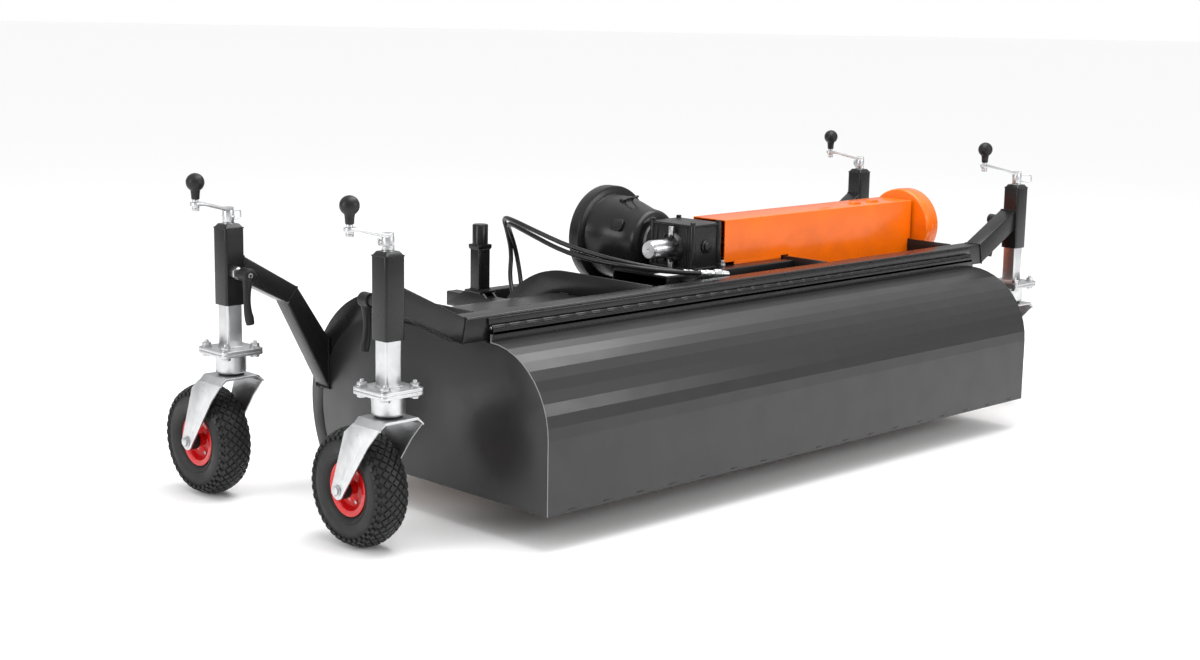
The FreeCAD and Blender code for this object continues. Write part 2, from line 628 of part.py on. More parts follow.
def make_shafts():
    """The cross shaft with its bevel gear and small sprocket, and the power take-off shaft."""
    shaft = rod("shaft_r", "case_out - 12 + gear_half + 10", ("-gear_half - 10", "drive_y", "drive_z"), "X")
    bevel = [("26", "0"), ("26", "25.4"), ("38", "37.4"), ("38", "0")]
    crown = put(turned(bevel, "XY_Plane", "H_Axis"), 0, "drive_y", "drive_z")
    sprocket = rod("small_sprocket_r", "7", ("chain_x + 1", "drive_y", "drive_z"), "X")
    node("drive_shaft", fuse(shaft, crown, sprocket))
    pinion = turned([("0", "26"), ("25.4", "26"), ("37.4", "38"), ("0", "38")], "XY_Plane", "V_Axis")
    stub = rod("pto_r", "pto_end - drive_y - 36", (0, "drive_y + 36", "drive_z"), "Y")
    groove = cut(rod("pto_r + 2", "9", (0, "pto_end - 38", "drive_z"), "Y"),
                 rod("pto_r - 3", "11", (0, "pto_end - 39", "drive_z"), "Y"))
    node("pto_shaft", fuse(cut(stub, groove), put(pinion, 0, "drive_y", "drive_z")))


def make_bell():
    """The guard round the power take-off shaft, carried by the gearbox's boss."""
    t = "bell_wall"
    rim = "bell_rim_r"
    outer = [("boss_r + fit", "gear_back + 26"), ("bell_neck_r - 4", "bell_neck_y - 18"),
             ("bell_neck_r", "bell_neck_y - 12"), ("bell_neck_r", "bell_neck_y + 8"),
             ("93", "bell_neck_y + 40"), ("108", "bell_neck_y + 96"), ("111", "bell_end_y - 38"),
             ("%s - 2" % rim, "bell_end_y - 34"), (rim, "bell_end_y - 30"), (rim, "bell_end_y")]
    inner = [("%s - %s" % (rim, t), "bell_end_y"), ("%s - %s" % (rim, t), "bell_end_y - 29"),
             ("111 - %s" % t, "bell_end_y - 33"), ("108 - %s" % t, "bell_neck_y + 96"),
             ("93 - %s" % t, "bell_neck_y + 40"), ("bell_neck_r - %s" % t, "bell_neck_y + 8"),
             ("bell_neck_r - %s" % t, "bell_neck_y - 13"), ("boss_r + fit", "gear_back + 31")]
    bell = put(turned(outer + inner, "XY_Plane", "V_Axis"), 0, 0, "drive_z")
    node("pto_bell", bell)
    ring = cut(rod("bracket_r", "9", (0, "gear_back + 17", "drive_z"), "Y"),
               rod("boss_r + fit", "11", (0, "gear_back + 16", "drive_z"), "Y"))
    tabs = block("-bracket_r - 9", "-bracket_r + 3", "gear_back + 17", "gear_back + 22",
                 "drive_z - 46", "drive_z + 46")
    node("bell_bracket", fuse(ring, tabs))


def make_covers():
    """The channel cover over the cross shaft and the chain's case at its right end."""
    left, right = "cover_left", "cover_right"
    t = "sheet - 1"
    low = "cover_low"
    top = block(left, right, "cover_front", "cover_back", "cover_top - %s" % t, "cover_top")
    step = "inner_rib_x + rib_thick / 2 + 16"
    rib_face = "half_width - plate - rib_thick - 1"
    walls = []
    for y0, y1 in (("cover_front", "cover_front + %s" % t), ("cover_back - %s" % t, "cover_back")):
        walls.append(block(left, right, y0, y1, low, "cover_top"))
        walls.append(block(step, rib_face, y0, y1, "deck", low))
    clear = rod("shaft_r + 6", "30", ("%s - 1" % left, "drive_y", "drive_z"), "X")
    side_feet = [block("cover_left + 40", "inner_rib_x - 10", y, "%s + 3" % y, "bridge_z", "%s + 2" % low)
                 for y in ("cover_front", "cover_back - 3")]
    node("shaft_cover", cut(fuse(top, *walls, *side_feet), clear))
    place = ("case_y", "case_z", "case_r", "brush_y", "brush_z", "case_r - 2")
    outer = plate("YZ_Plane", belt(*place), "case_out - case_in", "case_in")
    room = list(place)
    room[2] = room[5] = "case_r - 6"
    inner = plate("YZ_Plane", belt(*room), "case_out - case_in - 6", "case_in + 3")
    hole_top = rod("shaft_r + 1", "20", ("case_in - 5", "drive_y", "drive_z"), "X")
    hole_low = rod("shaft_r + 9", "20", ("case_in - 5", "brush_y", "brush_z"), "X")
    neck = cut(rod("54", "case_in - half_width", ("half_width", "brush_y", "brush_z"), "X"),
               rod("28", "20", ("half_width - 5", "brush_y", "brush_z"), "X"))
    node("chain_case", cut(fuse(outer, neck), inner, hole_top, hole_low))


def make_chain():
    """The chain's loop round both sprockets, as one band at its pitch line."""
    place = ["drive_y", "drive_z", "small_sprocket_r + 10", "brush_y", "brush_z", "large_sprocket_r + 10"]
    inner = list(place)
    inner[2], inner[5] = "small_sprocket_r + 0.6", "large_sprocket_r + 0.6"
    band = plate("YZ_Plane", belt(*place), "chain_width", "chain_x")
    node("chain", cut(band, plate("YZ_Plane", belt(*inner), "chain_width + 2", "chain_x - 1")))


# ---------------------------------------------------------------- brush

def make_brush():
    """The rotary brush: tube, stub shafts and sprocket, and its bristle wafers on one sleeve."""
    axle = ("brush_y", "brush_z")
    tube = rod("core_r", "2 * brush_half", ("-brush_half",) + axle, "X")
    bore = rod("core_r - 4", "2 * brush_half - 12", ("-brush_half + 6",) + axle, "X")
    stub = rod("20", "half_width - brush_half + 46", ("-half_width - 20",) + axle, "X")
    stub_right = rod("20", "chain_x + 12 - brush_half + 20", ("brush_half - 20",) + axle, "X")
    sprocket = rod("large_sprocket_r", "7", ("chain_x + 1",) + axle, "X")
    node("brush_core", fuse(cut(tube, bore), stub, stub_right, sprocket))
    sleeve = rod("core_r + 4", "2 * brush_half - 24", ("-brush_half + 12",) + axle, "X")
    count = int(number("(2 * brush_half - 24) / wafer_pitch"))
    wafers = [rod("brush_r", "wafer_thick",
                  ("-brush_half + 14 + %d * wafer_pitch" % index,) + axle, "X")
              for index in range(count)]
    node("bristles", cut(fuse(sleeve, *wafers),
                         rod("core_r", "2 * brush_half", ("-brush_half",) + axle, "X")))


def make_bearings():
    """The brush's two flanged bearings: the left outside its plate, the right inside."""
    bearings = []
    for start in ("-half_width - 16", "half_width - plate - 14"):
        at = (start, "brush_y", "brush_z")
        body = rod("44", "14" if "plate" in start else "16", at, "X")
        bearings.append(cut(body, rod("20 + fit", "40", ("%s - 5" % start,) + at[1:], "X")))
    node("brush_bearings", group(*bearings))


# ---------------------------------------------------------------- hitch

HOSES = {  # route of each hose from its coupling to the union behind the hood, in machine coordinates
    "pressure_hose": [(-118, 132, 487), (-172, 158, 496), (-226, 205, 508), (-264, 285, 522),
                      (-290, 378, 540), (-318, 468, 568), (-336, 556, 594), (-316, 632, 596),
                      (-268, 676, 556), (-240, 680, 490), (-244, 654, 428), (-262, 618, 380),
                      (-284, 596, 338)],
    "return_hose": [(-94, 98, 488), (-154, 116, 493), (-214, 154, 500), (-262, 222, 508),
                    (-284, 312, 514), (-298, 404, 528), (-306, 496, 552), (-300, 584, 572),
                    (-262, 644, 558), (-222, 668, 504), (-212, 650, 440), (-228, 622, 388),
                    (-252, 596, 338)],
}


def fitting(radius, length, start, along):
    """A round fitting that starts at a hose's end and points along it."""
    piece = doc.addObject("Part::Cylinder", "fitting")
    tie(piece, Radius=radius, Height=length)
    piece.Placement = FreeCAD.Placement(start, Rotation(Vector(0, 0, 1), along))
    return piece


def make_hitch():
    """The hitch frame: two rails, a cross bar, an upright with a stub on each, the hoses' unions."""
    pieces = []
    half = "hitch_tube / 2"
    for side in (-1, 1):
        x = "%d * hitch_x" % side
        x0, x1 = "%s - %s" % (x, half), "%s + %s" % (x, half)
        pieces.append(block(x0, x1, "hood_y + 60", "rail_end", "rail_low", "rail_top"))
        pieces.append(block("%s - 28" % x, "%s + 28" % x, "hitch_y - 34", "hitch_y + 34",
                            "hitch_low - 6", "hitch_low"))
        gusset = [("hitch_y - 78", "rail_top - 24"), ("hitch_y - 34", "hitch_low - 5"),
                  ("hitch_y + 40", "hitch_low - 5"), ("rail_end", "rail_top - 32"),
                  ("hitch_y - 78", "rail_top - 32")]
        for start in (x0, "%s - 6" % x1):
            pieces.append(plate("YZ_Plane", gusset, "6", start))
        pieces.append(square(x, "hitch_y", "hitch_tube", "hitch_low - 1", "hitch_collar"))
        pieces.append(square(x, "hitch_y", "(hitch_tube + 7)", "hitch_collar", "hitch_collar + 10"))
        pieces.append(rod("stub_r", "hitch_top - hitch_collar", (x, "hitch_y", "hitch_collar")))
    pieces.append(block("-hitch_x", "hitch_x", "hitch_y + 60", "hitch_y + 100",
                        "rail_low + 2", "rail_top - 2"))
    pieces.append(block("-union_x", "-hitch_x - %s + 1" % half, "union_front", "union_back",
                        "rail_low", "union_top"))
    for points in HOSES.values():
        last, along = Vector(*points[-1]), Vector(*points[-1]) - Vector(*points[-2])
        pieces.append(fitting("coupling_r", "nose", last, along.normalize()))
    trim = rod("hood_radius", "2 * half_width", ("-half_width", "hood_y", "hood_z"), "X")
    node("hitch_frame", cut(fuse(*pieces), trim))


# ---------------------------------------------------------------- hoses

def hose_path(points):
    """Straight runs joined by tangent arcs, each as large as its two runs allow."""
    spots = [Vector(*point) for point in points]
    edges, radii, start = [], [], spots[0]
    for before, here, after in zip(spots, spots[1:], spots[2:]):
        a, b = (before - here), (after - here)
        half_turn = (math.pi - a.getAngle(b)) / 2
        cut_back = 0.45 * min(a.Length, b.Length)
        radii.append(cut_back / math.tan(half_turn))
        first = here + a.normalize() * cut_back
        last = here + b.normalize() * cut_back
        inward = (a + b).normalize()
        middle = here + inward * (radii[-1] / math.cos(half_turn) - radii[-1])
        edges.append(Part.LineSegment(start, first).toShape())
        edges.append(Part.Arc(first, middle, last).toShape())
        start = last
    edges.append(Part.LineSegment(start, spots[-1]).toShape())
    return Part.Wire(edges), radii


def make_hoses():
    for name, points in HOSES.items():
        path, radii = hose_path(points)
        radius = number("hose_r")
        along = path.Edges[0].tangentAt(path.Edges[0].FirstParameter)
        circle = Part.Wire(Part.Circle(Vector(*points[0]), along, radius).toShape())
        hose = doc.addObject("Part::Feature", name)
        hose.Shape = path.makePipeShell([circle], True, False)
        expected = math.pi * radius ** 2 * path.Length
        print(name, "length %.0f" % path.Length, "radii", [round(r) for r in radii],
              "volume ratio %.4f" % (hose.Shape.Volume / expected))
        node(name, hose)


def make_couplings():
    """The hoses' two quick couplings, each a stem, a sliding sleeve and a nose."""
    couplings = []
    for first, second, *rest in HOSES.values():
        start = Vector(*first)
        along = (start - Vector(*second)).normalize()
        stem_end = start + along * number("stem")
        sleeve_end = start + along * number("stem + sleeve")
        couplings.append(fuse(fitting("coupling_r", "stem + fit", start, along),
                              fitting("sleeve_r", "sleeve + fit", stem_end, along),
                              fitting("coupling_r", "nose", sleeve_end, along)))
    node("hose_couplings", group(*couplings))


# ---------------------------------------------------------------- assembly

make_housing()
make_beam()
make_flap()
for corner in CORNERS:
    make_arm(corner)
    make_leg(corner)
    make_castor_head(corner)
    make_fork(corner)
    make_wheel(corner)
    make_crank(corner)
    make_knob(corner)
    make_lever(corner)
make_gearbox()
make_shaft_cap()
make_bridge()
make_shafts()
make_bell()
make_covers()
make_chain()
make_brush()
make_bearings()
make_hitch()
make_hoses()
make_couplings()

doc.recompute()
faults = [item.Label for item in doc.Objects if "Invalid" in item.State or "Error" in item.State]
if faults:
    raise SystemExit("failed objects: %s" % faults)
os.makedirs("parts", exist_ok=True)
whole = FreeCAD.BoundBox()
for piece in nodes:
    if piece.Shape.isNull() or not piece.Shape.isValid() or piece.Shape.Volume <= 0:
        raise SystemExit("bad shape: %s" % piece.Label)
    piece.Shape.exportStep("parts/%s.step" % piece.Label)
    whole.add(piece.Shape.BoundBox)
print(len(nodes), "nodes; box", [round(v, 1) for v in (whole.XMin, whole.XMax, whole.YMin, whole.YMax,
                                                      whole.ZMin, whole.ZMax)])
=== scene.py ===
# %% [markdown]
# # A tractor-driven lawn sweeper
# The sweeper is a rotary brush under a welded hood, with a hinged flap in front, four castors on
# screw-adjusted legs, and a shaft drive on top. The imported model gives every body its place, so
# this script only dresses it. Pieces are drawn in millimetres, measured from the power take-off
# shaft and the beam's front face, because those are the numbers that a fitter would read off a
# drawing. One matrix at the end turns them into metres in the model's own frame.

# %% Load the frame
import math
import random

import bmesh
import bpy
from mathutils import Matrix, Vector


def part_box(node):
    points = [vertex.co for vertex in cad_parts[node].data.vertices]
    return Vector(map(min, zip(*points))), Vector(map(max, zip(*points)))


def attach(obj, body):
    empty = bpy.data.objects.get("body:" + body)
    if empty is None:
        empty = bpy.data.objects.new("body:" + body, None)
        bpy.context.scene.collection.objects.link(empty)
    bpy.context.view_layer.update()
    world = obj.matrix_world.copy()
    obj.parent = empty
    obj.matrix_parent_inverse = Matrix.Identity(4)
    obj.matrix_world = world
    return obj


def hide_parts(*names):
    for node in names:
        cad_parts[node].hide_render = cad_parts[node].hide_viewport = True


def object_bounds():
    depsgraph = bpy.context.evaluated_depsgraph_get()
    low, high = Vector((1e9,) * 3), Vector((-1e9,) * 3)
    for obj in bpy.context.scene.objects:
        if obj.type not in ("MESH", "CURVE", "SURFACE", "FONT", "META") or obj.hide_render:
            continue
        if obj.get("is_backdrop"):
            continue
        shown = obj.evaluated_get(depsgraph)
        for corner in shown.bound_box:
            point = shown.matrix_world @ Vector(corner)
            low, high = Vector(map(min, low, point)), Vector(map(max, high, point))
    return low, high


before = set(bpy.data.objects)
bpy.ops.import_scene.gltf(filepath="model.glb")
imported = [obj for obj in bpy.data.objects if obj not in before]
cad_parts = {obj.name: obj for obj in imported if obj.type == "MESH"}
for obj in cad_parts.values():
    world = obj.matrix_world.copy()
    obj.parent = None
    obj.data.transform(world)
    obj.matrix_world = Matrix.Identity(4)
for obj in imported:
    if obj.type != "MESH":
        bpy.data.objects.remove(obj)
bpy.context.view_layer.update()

beam_low, beam_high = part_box("front_beam")
MM = 0.001
BEAM = 55
ORIGIN = Vector(((beam_low.x + beam_high.x) / 2, beam_high.y - BEAM * MM, 0))
TO_ROW = Matrix.Translation(ORIGIN) @ Matrix.Scale(MM, 4)


def row(x, y, z):
    """A point in drawing millimetres, as metres in the model's frame."""
    return TO_ROW @ Vector((x, y, z))


# %% [markdown]
# ## The camera
# A catalogue view from the front left corner, above the posts. A long-ish lens keeps the
# near castors from swelling. The camera is aimed by its own three axes, because a look-at
# constraint can't hold the slight roll of the view.

# %% Camera
TURN, DROP, ROLL = math.radians(44.837), math.radians(10.304), math.radians(1.0055)
ahead = Vector((math.sin(TURN) * math.cos(DROP), math.cos(TURN) * math.cos(DROP), -math.sin(DROP)))
level = Vector((math.cos(TURN), -math.sin(TURN), 0))
upright = level.cross(ahead)
side = math.cos(ROLL) * level + math.sin(ROLL) * upright
top = -math.sin(ROLL) * level + math.cos(ROLL) * upright
LENS, SENSOR, CAMERA_AT = 55.24, 36, (-3448, -2909, 1159)
camera_data = bpy.data.cameras.new("camera")
camera_data.lens, camera_data.sensor_width = LENS, SENSOR
camera_data.clip_start, camera_data.clip_end = 0.1, 60
camera = bpy.data.objects.new("camera", camera_data)
bpy.context.collection.objects.link(camera)
aim = Matrix((side, top, -ahead)).transposed().to_4x4()
camera.matrix_world = Matrix.Translation(row(*CAMERA_AT)) @ aim
bpy.context.scene.camera = camera
print("camera at", [round(v, 3) for v in camera.location])

# %% [markdown]
# ## Drawing tools
# Every piece starts as a bmesh made by an operator: a cube, a cone, a flat face that is extruded
# or a profile that is spun. Each helper below gives back such a bmesh, so that pieces can be
# rounded, moved and put together before one call turns them into an object. Real sheet metal and
# castings have no knife edges, so rounding is part of the helpers, not an afterthought.

# %% Shapes
def rounded(shape, edges, width, segments=4):
    """Round chosen edges only, as where a sheet is folded."""
    bmesh.ops.bevel(shape, geom=edges, offset=width, offset_type="OFFSET", segments=segments,
                    profile=0.5, affect="EDGES", clamp_overlap=True, material=-1)
    return shape


def soften(shape, width, segments=2, sharper_than=35):
    """Round every edge that is sharper than an angle in degrees."""
    limit = math.radians(sharper_than)
    edges = [e for e in shape.edges if len(e.link_faces) == 2 and e.calc_face_angle() > limit]
    return rounded(shape, edges, width, segments) if width and edges else shape


def block(x0, x1, y0, y1, z0, z1, edge=0.8, segments=2):
    """A box between two corners, with rounded edges."""
    shape = bmesh.new()
    bmesh.ops.create_cube(shape, size=1)
    bmesh.ops.scale(shape, vec=(x1 - x0, y1 - y0, z1 - z0), verts=shape.verts)
    bmesh.ops.translate(shape, vec=((x0 + x1) / 2, (y0 + y1) / 2, (z0 + z1) / 2), verts=shape.verts)
    return soften(shape, edge, segments)


def rod(start, end, radius, end_radius=None, sides=32, edge=0.6):
    """A round bar between two points, tapered if it has an end radius; six sides make a bolt head."""
    start, end = Vector(start), Vector(end)
    shape = bmesh.new()
    bmesh.ops.create_cone(shape, cap_ends=True, segments=sides, radius1=radius,
                          radius2=radius if end_radius is None else end_radius,
                          depth=(end - start).length)
    turn = (end - start).to_track_quat("Z", "Y").to_matrix().to_4x4()
    bmesh.ops.transform(shape, matrix=Matrix.Translation((start + end) / 2) @ turn, verts=shape.verts)
    return soften(shape, edge, 2, 50)


AXES = {"Z": Matrix.Identity(4), "X": Matrix.Rotation(math.pi / 2, 4, "Y"),
        "Y": Matrix.Rotation(-math.pi / 2, 4, "X")}


def lathe(profile, base=(0, 0, 0), axis="Z", steps=48, closed=False):
    """Spin a profile of (radius, height) points about an axis through a base point."""
    shape = bmesh.new()
    points = [shape.verts.new((radius, 0, height)) for radius, height in profile]
    pairs = list(zip(points, points[1:])) + ([(points[-1], points[0])] if closed else [])
    edges = [shape.edges.new(pair) for pair in pairs]
    bmesh.ops.spin(shape, geom=points + edges, cent=(0, 0, 0), axis=(0, 0, 1), dvec=(0, 0, 0),
                   angle=2 * math.pi, steps=steps, use_merge=True)
    bmesh.ops.remove_doubles(shape, verts=shape.verts, dist=0.001)
    bmesh.ops.recalc_face_normals(shape, faces=shape.faces)
    bmesh.ops.transform(shape, matrix=Matrix.Translation(base) @ AXES[axis], verts=shape.verts)
    return shape


def arc(cu, cv, radius, first, last, count):
    """Points on an arc, from one angle in degrees to another."""
    angles = [math.radians(first + (last - first) * i / count) for i in range(count + 1)]
    return [(cu + radius * math.cos(a), cv + radius * math.sin(a)) for a in angles]


def slab(outline, plane, start, depth, corner=0, edge=0.8, segments=2):
    """A plate: a flat outline, its corners rounded, pulled out along the third axis."""
    place = {"XY": lambda u, v: (u, v, start), "XZ": lambda u, v: (u, start, v),
             "YZ": lambda u, v: (start, u, v)}[plane]
    pull = {"XY": (0, 0, depth), "XZ": (0, depth, 0), "YZ": (depth, 0, 0)}[plane]
    shape = bmesh.new()
    face = shape.faces.new([shape.verts.new(place(u, v)) for u, v in outline])
    if corner:
        bmesh.ops.bevel(shape, geom=face.verts[:], offset=corner, offset_type="OFFSET", segments=5,
                        profile=0.5, affect="VERTICES", clamp_overlap=True, material=-1)
    grown = bmesh.ops.extrude_face_region(shape, geom=shape.faces[:], use_keep_orig=True)
    moved = [item for item in grown["geom"] if isinstance(item, bmesh.types.BMVert)]
    bmesh.ops.translate(shape, vec=pull, verts=moved)
    bmesh.ops.recalc_face_normals(shape, faces=shape.faces)
    return soften(shape, edge, segments)


def together(*shapes):
    """Several shapes as one."""
    whole = bmesh.new()
    for shape in shapes:
        mesh = bpy.data.meshes.new("shape")
        shape.to_mesh(mesh)
        shape.free()
        whole.from_mesh(mesh)
        bpy.data.meshes.remove(mesh)
    return whole


def move(shape, x=0, y=0, z=0, turn=0, about=(0, 0, 0), axis="Z"):
    """Turn a shape, in degrees, about a point, and then move it."""
    hub = Matrix.Translation(about)
    spun = hub @ Matrix.Rotation(math.radians(turn), 4, axis) @ hub.inverted()
    bmesh.ops.transform(shape, matrix=Matrix.Translation((x, y, z)) @ spun, verts=shape.verts)
    return shape


def ring_of(shape, count, centre=(0, 0, 0), axis=(1, 0, 0)):
    """Repeat a shape round an axis, with even steps."""
    bmesh.ops.spin(shape, geom=shape.verts[:] + shape.edges[:] + shape.faces[:], cent=centre,
                   axis=axis, dvec=(0, 0, 0), angle=2 * math.pi * (count - 1) / count,
                   steps=count - 1, use_duplicate=True)
    return shape


def square(x, y, half):
    """The corners of a square about a point."""
    return [(x - half, y - half), (x + half, y - half), (x + half, y + half), (x - half, y + half)]


test = slab([(0, 0), (50, 0), (50, 30), (0, 30)], "XZ", 0, 5, corner=6)
print("a plate has", len(test.faces), "faces, closed:", all(e.is_manifold for e in test.edges))
test.free()

# %% [markdown]
# ## Weld beads
# The frame is welded by hand, and its seams show as a row of overlapping ripples. A curve whose
# points swell and shrink gives that at once. A bump map would look flat in profile.

# %% Weld bead
def curve_shape(data):
    """A curve's surface as a shape; the curve itself is removed."""
    holder = bpy.data.objects.new(data.name, data)
    mesh = bpy.data.meshes.new_from_object(holder)
    shape = bmesh.new()
    shape.from_mesh(mesh)
    bpy.data.objects.remove(holder)
    bpy.data.curves.remove(data)
    bpy.data.meshes.remove(mesh)
    return shape


def bead(corners, radius=2.6, step=3.0):
    """A rippled weld along straight runs between corners."""
    rng = random.Random(int(sum(sum(c) for c in corners)))
    points = []
    for first, last in zip(corners, corners[1:]):
        first, last = Vector(first), Vector(last)
        count = max(2, round((last - first).length / step))
        points += [first.lerp(last, i / count) for i in range(count)]
    points.append(Vector(corners[-1]))
    data = bpy.data.curves.new("bead", "CURVE")
    data.dimensions, data.bevel_depth, data.bevel_resolution = "3D", radius, 1
    data.use_fill_caps = True
    line = data.splines.new("POLY")
    line.points.add(len(points) - 1)
    for i, point in enumerate(points):
        jitter = [rng.uniform(-0.25, 0.25) for _ in range(3)]
        line.points[i].co = (*(point + Vector(jitter)), 1)
        line.points[i].radius = (0.82, 1.12)[i % 2] * rng.uniform(0.93, 1.07)
    return curve_shape(data)


def square_seam(x, y, half, z, radius, step=3.0):
    """A weld all round a square tube."""
    corners = square(x, y, half)
    return bead([(u, v, z) for u, v in corners + corners[:1]], radius, step)


print("a bead of 60 mm has", len(bead([(0, 0, 0), (60, 0, 0)]).faces), "faces")

# %% [markdown]
# ## Shared surface effects
# Three effects turn up in most of the finishes. Orange peel is the fine unevenness of sprayed or
# powder-baked paint. Grain is a stretched noise, for rolled, brushed or plated metal. Dust settles
# on faces that look up. Each is one node group with its own inputs, so that every material uses
# the same recipe with other numbers.

# %% Node groups
def group_of(name, inputs, outputs):
    """An empty shader group with its sockets, and its two end nodes."""
    tree = bpy.data.node_groups.new(name, "ShaderNodeTree")
    for label, kind, value in inputs:
        socket = tree.interface.new_socket(label, in_out="INPUT", socket_type=kind)
        socket.default_value = value
    for label, kind in outputs:
        tree.interface.new_socket(label, in_out="OUTPUT", socket_type=kind)
    return tree, tree.nodes.new("NodeGroupInput"), tree.nodes.new("NodeGroupOutput")


def noise(tree, vector, scale, detail):
    node = tree.nodes.new("ShaderNodeTexNoise")
    node.inputs["Detail"].default_value = detail
    tree.links.new(vector, node.inputs["Vector"])
    if isinstance(scale, (int, float)):
        node.inputs["Scale"].default_value = scale
    else:
        tree.links.new(scale, node.inputs["Scale"])
    return node.outputs["Fac"]


def stretch(tree, value, low, high, out_low, out_high):
    """Map a value from one range to another; each end is a number or a socket."""
    node = tree.nodes.new("ShaderNodeMapRange")
    for label, end in (("Value", value), ("From Min", low), ("From Max", high),
                       ("To Min", out_low), ("To Max", out_high)):
        if isinstance(end, (int, float)):
            node.inputs[label].default_value = end
        else:
            tree.links.new(end, node.inputs[label])
    return node.outputs["Result"]


def mixed(tree, factor, first, second):
    node = tree.nodes.new("ShaderNodeMix")
    node.data_type = "RGBA"
    tree.links.new(factor, node.inputs["Factor"])
    for socket, colour in ((node.inputs[6], first), (node.inputs[7], second)):
        if isinstance(colour, tuple):
            socket.default_value = (*colour, 1)
        else:
            tree.links.new(colour, socket)
    return node.outputs[2]


def build_peel():
    tree, given, out = group_of(
        "sprayed peel", [("Vector", "NodeSocketVector", (0, 0, 0)), ("Scale", "NodeSocketFloat", 900)],
        [("Height", "NodeSocketFloat"), ("Patches", "NodeSocketFloat")])
    fine = noise(tree, given.outputs["Vector"], given.outputs["Scale"], 2)
    patches = noise(tree, given.outputs["Vector"], 14, 3)
    tree.links.new(fine, out.inputs["Height"])
    tree.links.new(stretch(tree, patches, 0.35, 0.65, 0.0, 1.0), out.inputs["Patches"])
    return tree


def build_grain():
    tree, given, out = group_of(
        "metal grain",
        [("Vector", "NodeSocketVector", (0, 0, 0)), ("Along", "NodeSocketVector", (1, 1, 12))],
        [("Height", "NodeSocketFloat"), ("Tone", "NodeSocketFloat")])
    run = tree.nodes.new("ShaderNodeVectorMath")
    run.operation = "MULTIPLY"
    tree.links.new(given.outputs["Vector"], run.inputs[0])
    tree.links.new(given.outputs["Along"], run.inputs[1])
    lines = noise(tree, run.outputs[0], 60, 4)
    cloud = noise(tree, given.outputs["Vector"], 45, 4)
    tree.links.new(lines, out.inputs["Height"])
    tree.links.new(stretch(tree, cloud, 0.3, 0.7, 0.0, 1.0), out.inputs["Tone"])
    return tree


def build_dust():
    tree, given, out = group_of(
        "settled dust", [("Vector", "NodeSocketVector", (0, 0, 0)), ("Amount", "NodeSocketFloat", 0.2)],
        [("Mask", "NodeSocketFloat")])
    geometry = tree.nodes.new("ShaderNodeNewGeometry")
    split = tree.nodes.new("ShaderNodeSeparateXYZ")
    tree.links.new(geometry.outputs["Normal"], split.inputs[0])
    facing = stretch(tree, split.outputs["Z"], 0.2, 1.0, 0.0, given.outputs["Amount"])
    cloud = stretch(tree, noise(tree, given.outputs["Vector"], 9, 5), 0.4, 0.75, 0.0, 1.0)
    both = tree.nodes.new("ShaderNodeMath")
    both.operation = "MULTIPLY"
    tree.links.new(facing, both.inputs[0])
    tree.links.new(cloud, both.inputs[1])
    tree.links.new(both.outputs[0], out.inputs["Mask"])
    return tree


PEEL, GRAIN, DUST = build_peel(), build_grain(), build_dust()
print("node groups:", [tree.name for tree in (PEEL, GRAIN, DUST)])

# %% [markdown]
# ## Finishes
# Paint is a dark or bright base under a slightly rough gloss, with the peel as its bump and its
# patches as a small change of roughness. Plated and turned steel are metals, whose grain runs one
# way. Rubber and moulded plastic are rough and hardly reflect. One function makes paint,
# rubber and plastic, and another makes metal.

# %% Materials
FINISHES = {}
PEEL_HEIGHT, GRAIN_HEIGHT = 0.00006, 0.0001  # metres


def new_material(name, slot, **settings):
    material = bpy.data.materials.new(name)
    material.use_nodes = True
    tree = material.node_tree
    shader = tree.nodes["Principled BSDF"]
    for label, value in settings.items():
        shader.inputs[label.replace("_", " ")].default_value = value
    where = tree.nodes.new("ShaderNodeTexCoord").outputs["Object"]
    FINISHES[name] = (material, slot)
    return tree, shader, where


def placed(tree, group, where, **values):
    node = tree.nodes.new("ShaderNodeGroup")
    node.node_tree = group
    tree.links.new(where, node.inputs["Vector"])
    for label, value in values.items():
        node.inputs[label].default_value = value
    return node


def bump(tree, shader, height, strength, distance):
    node = tree.nodes.new("ShaderNodeBump")
    node.inputs["Strength"].default_value = strength
    node.inputs["Distance"].default_value = distance
    tree.links.new(height, node.inputs["Height"])
    tree.links.new(node.outputs["Normal"], shader.inputs["Normal"])


def painted(name, slot, colour, rough, coat=0.0, scale=900, depth=0.12, dust=0.10, spread=0.04,
            shine=0.3):
    """A sprayed or moulded surface with fine peel, uneven gloss and a trace of dust."""
    tree, shader, where = new_material(name, slot, Coat_Weight=coat, Coat_Roughness=0.12,
                                       Specular_IOR_Level=shine)
    peel = placed(tree, PEEL, where, Scale=scale)
    dusty = placed(tree, DUST, where, Amount=dust)
    shade = tuple(0.86 * c for c in colour)
    body = mixed(tree, peel.outputs["Patches"], colour, shade)
    dust_colour = tuple(0.55 * c + 0.14 for c in colour)
    tree.links.new(mixed(tree, dusty.outputs["Mask"], body, dust_colour), shader.inputs["Base Color"])
    gloss = stretch(tree, peel.outputs["Patches"], 0.0, 1.0, rough - spread, rough + spread)
    tree.links.new(gloss, shader.inputs["Roughness"])
    bump(tree, shader, peel.outputs["Height"], depth, PEEL_HEIGHT)


def metal(name, slot, light, dark, rough, along=(1, 1, 1), depth=0.10):
    """Plated or turned steel: a cloudy tone over a fine grain that may run one way."""
    tree, shader, where = new_material(name, slot, Metallic=1.0)
    grain = placed(tree, GRAIN, where, Along=along)
    tree.links.new(mixed(tree, grain.outputs["Tone"], dark, light), shader.inputs["Base Color"])
    gloss = stretch(tree, grain.outputs["Height"], 0.3, 0.7, rough - 0.03, rough + 0.04)
    tree.links.new(gloss, shader.inputs["Roughness"])
    bump(tree, shader, grain.outputs["Height"], depth, GRAIN_HEIGHT)


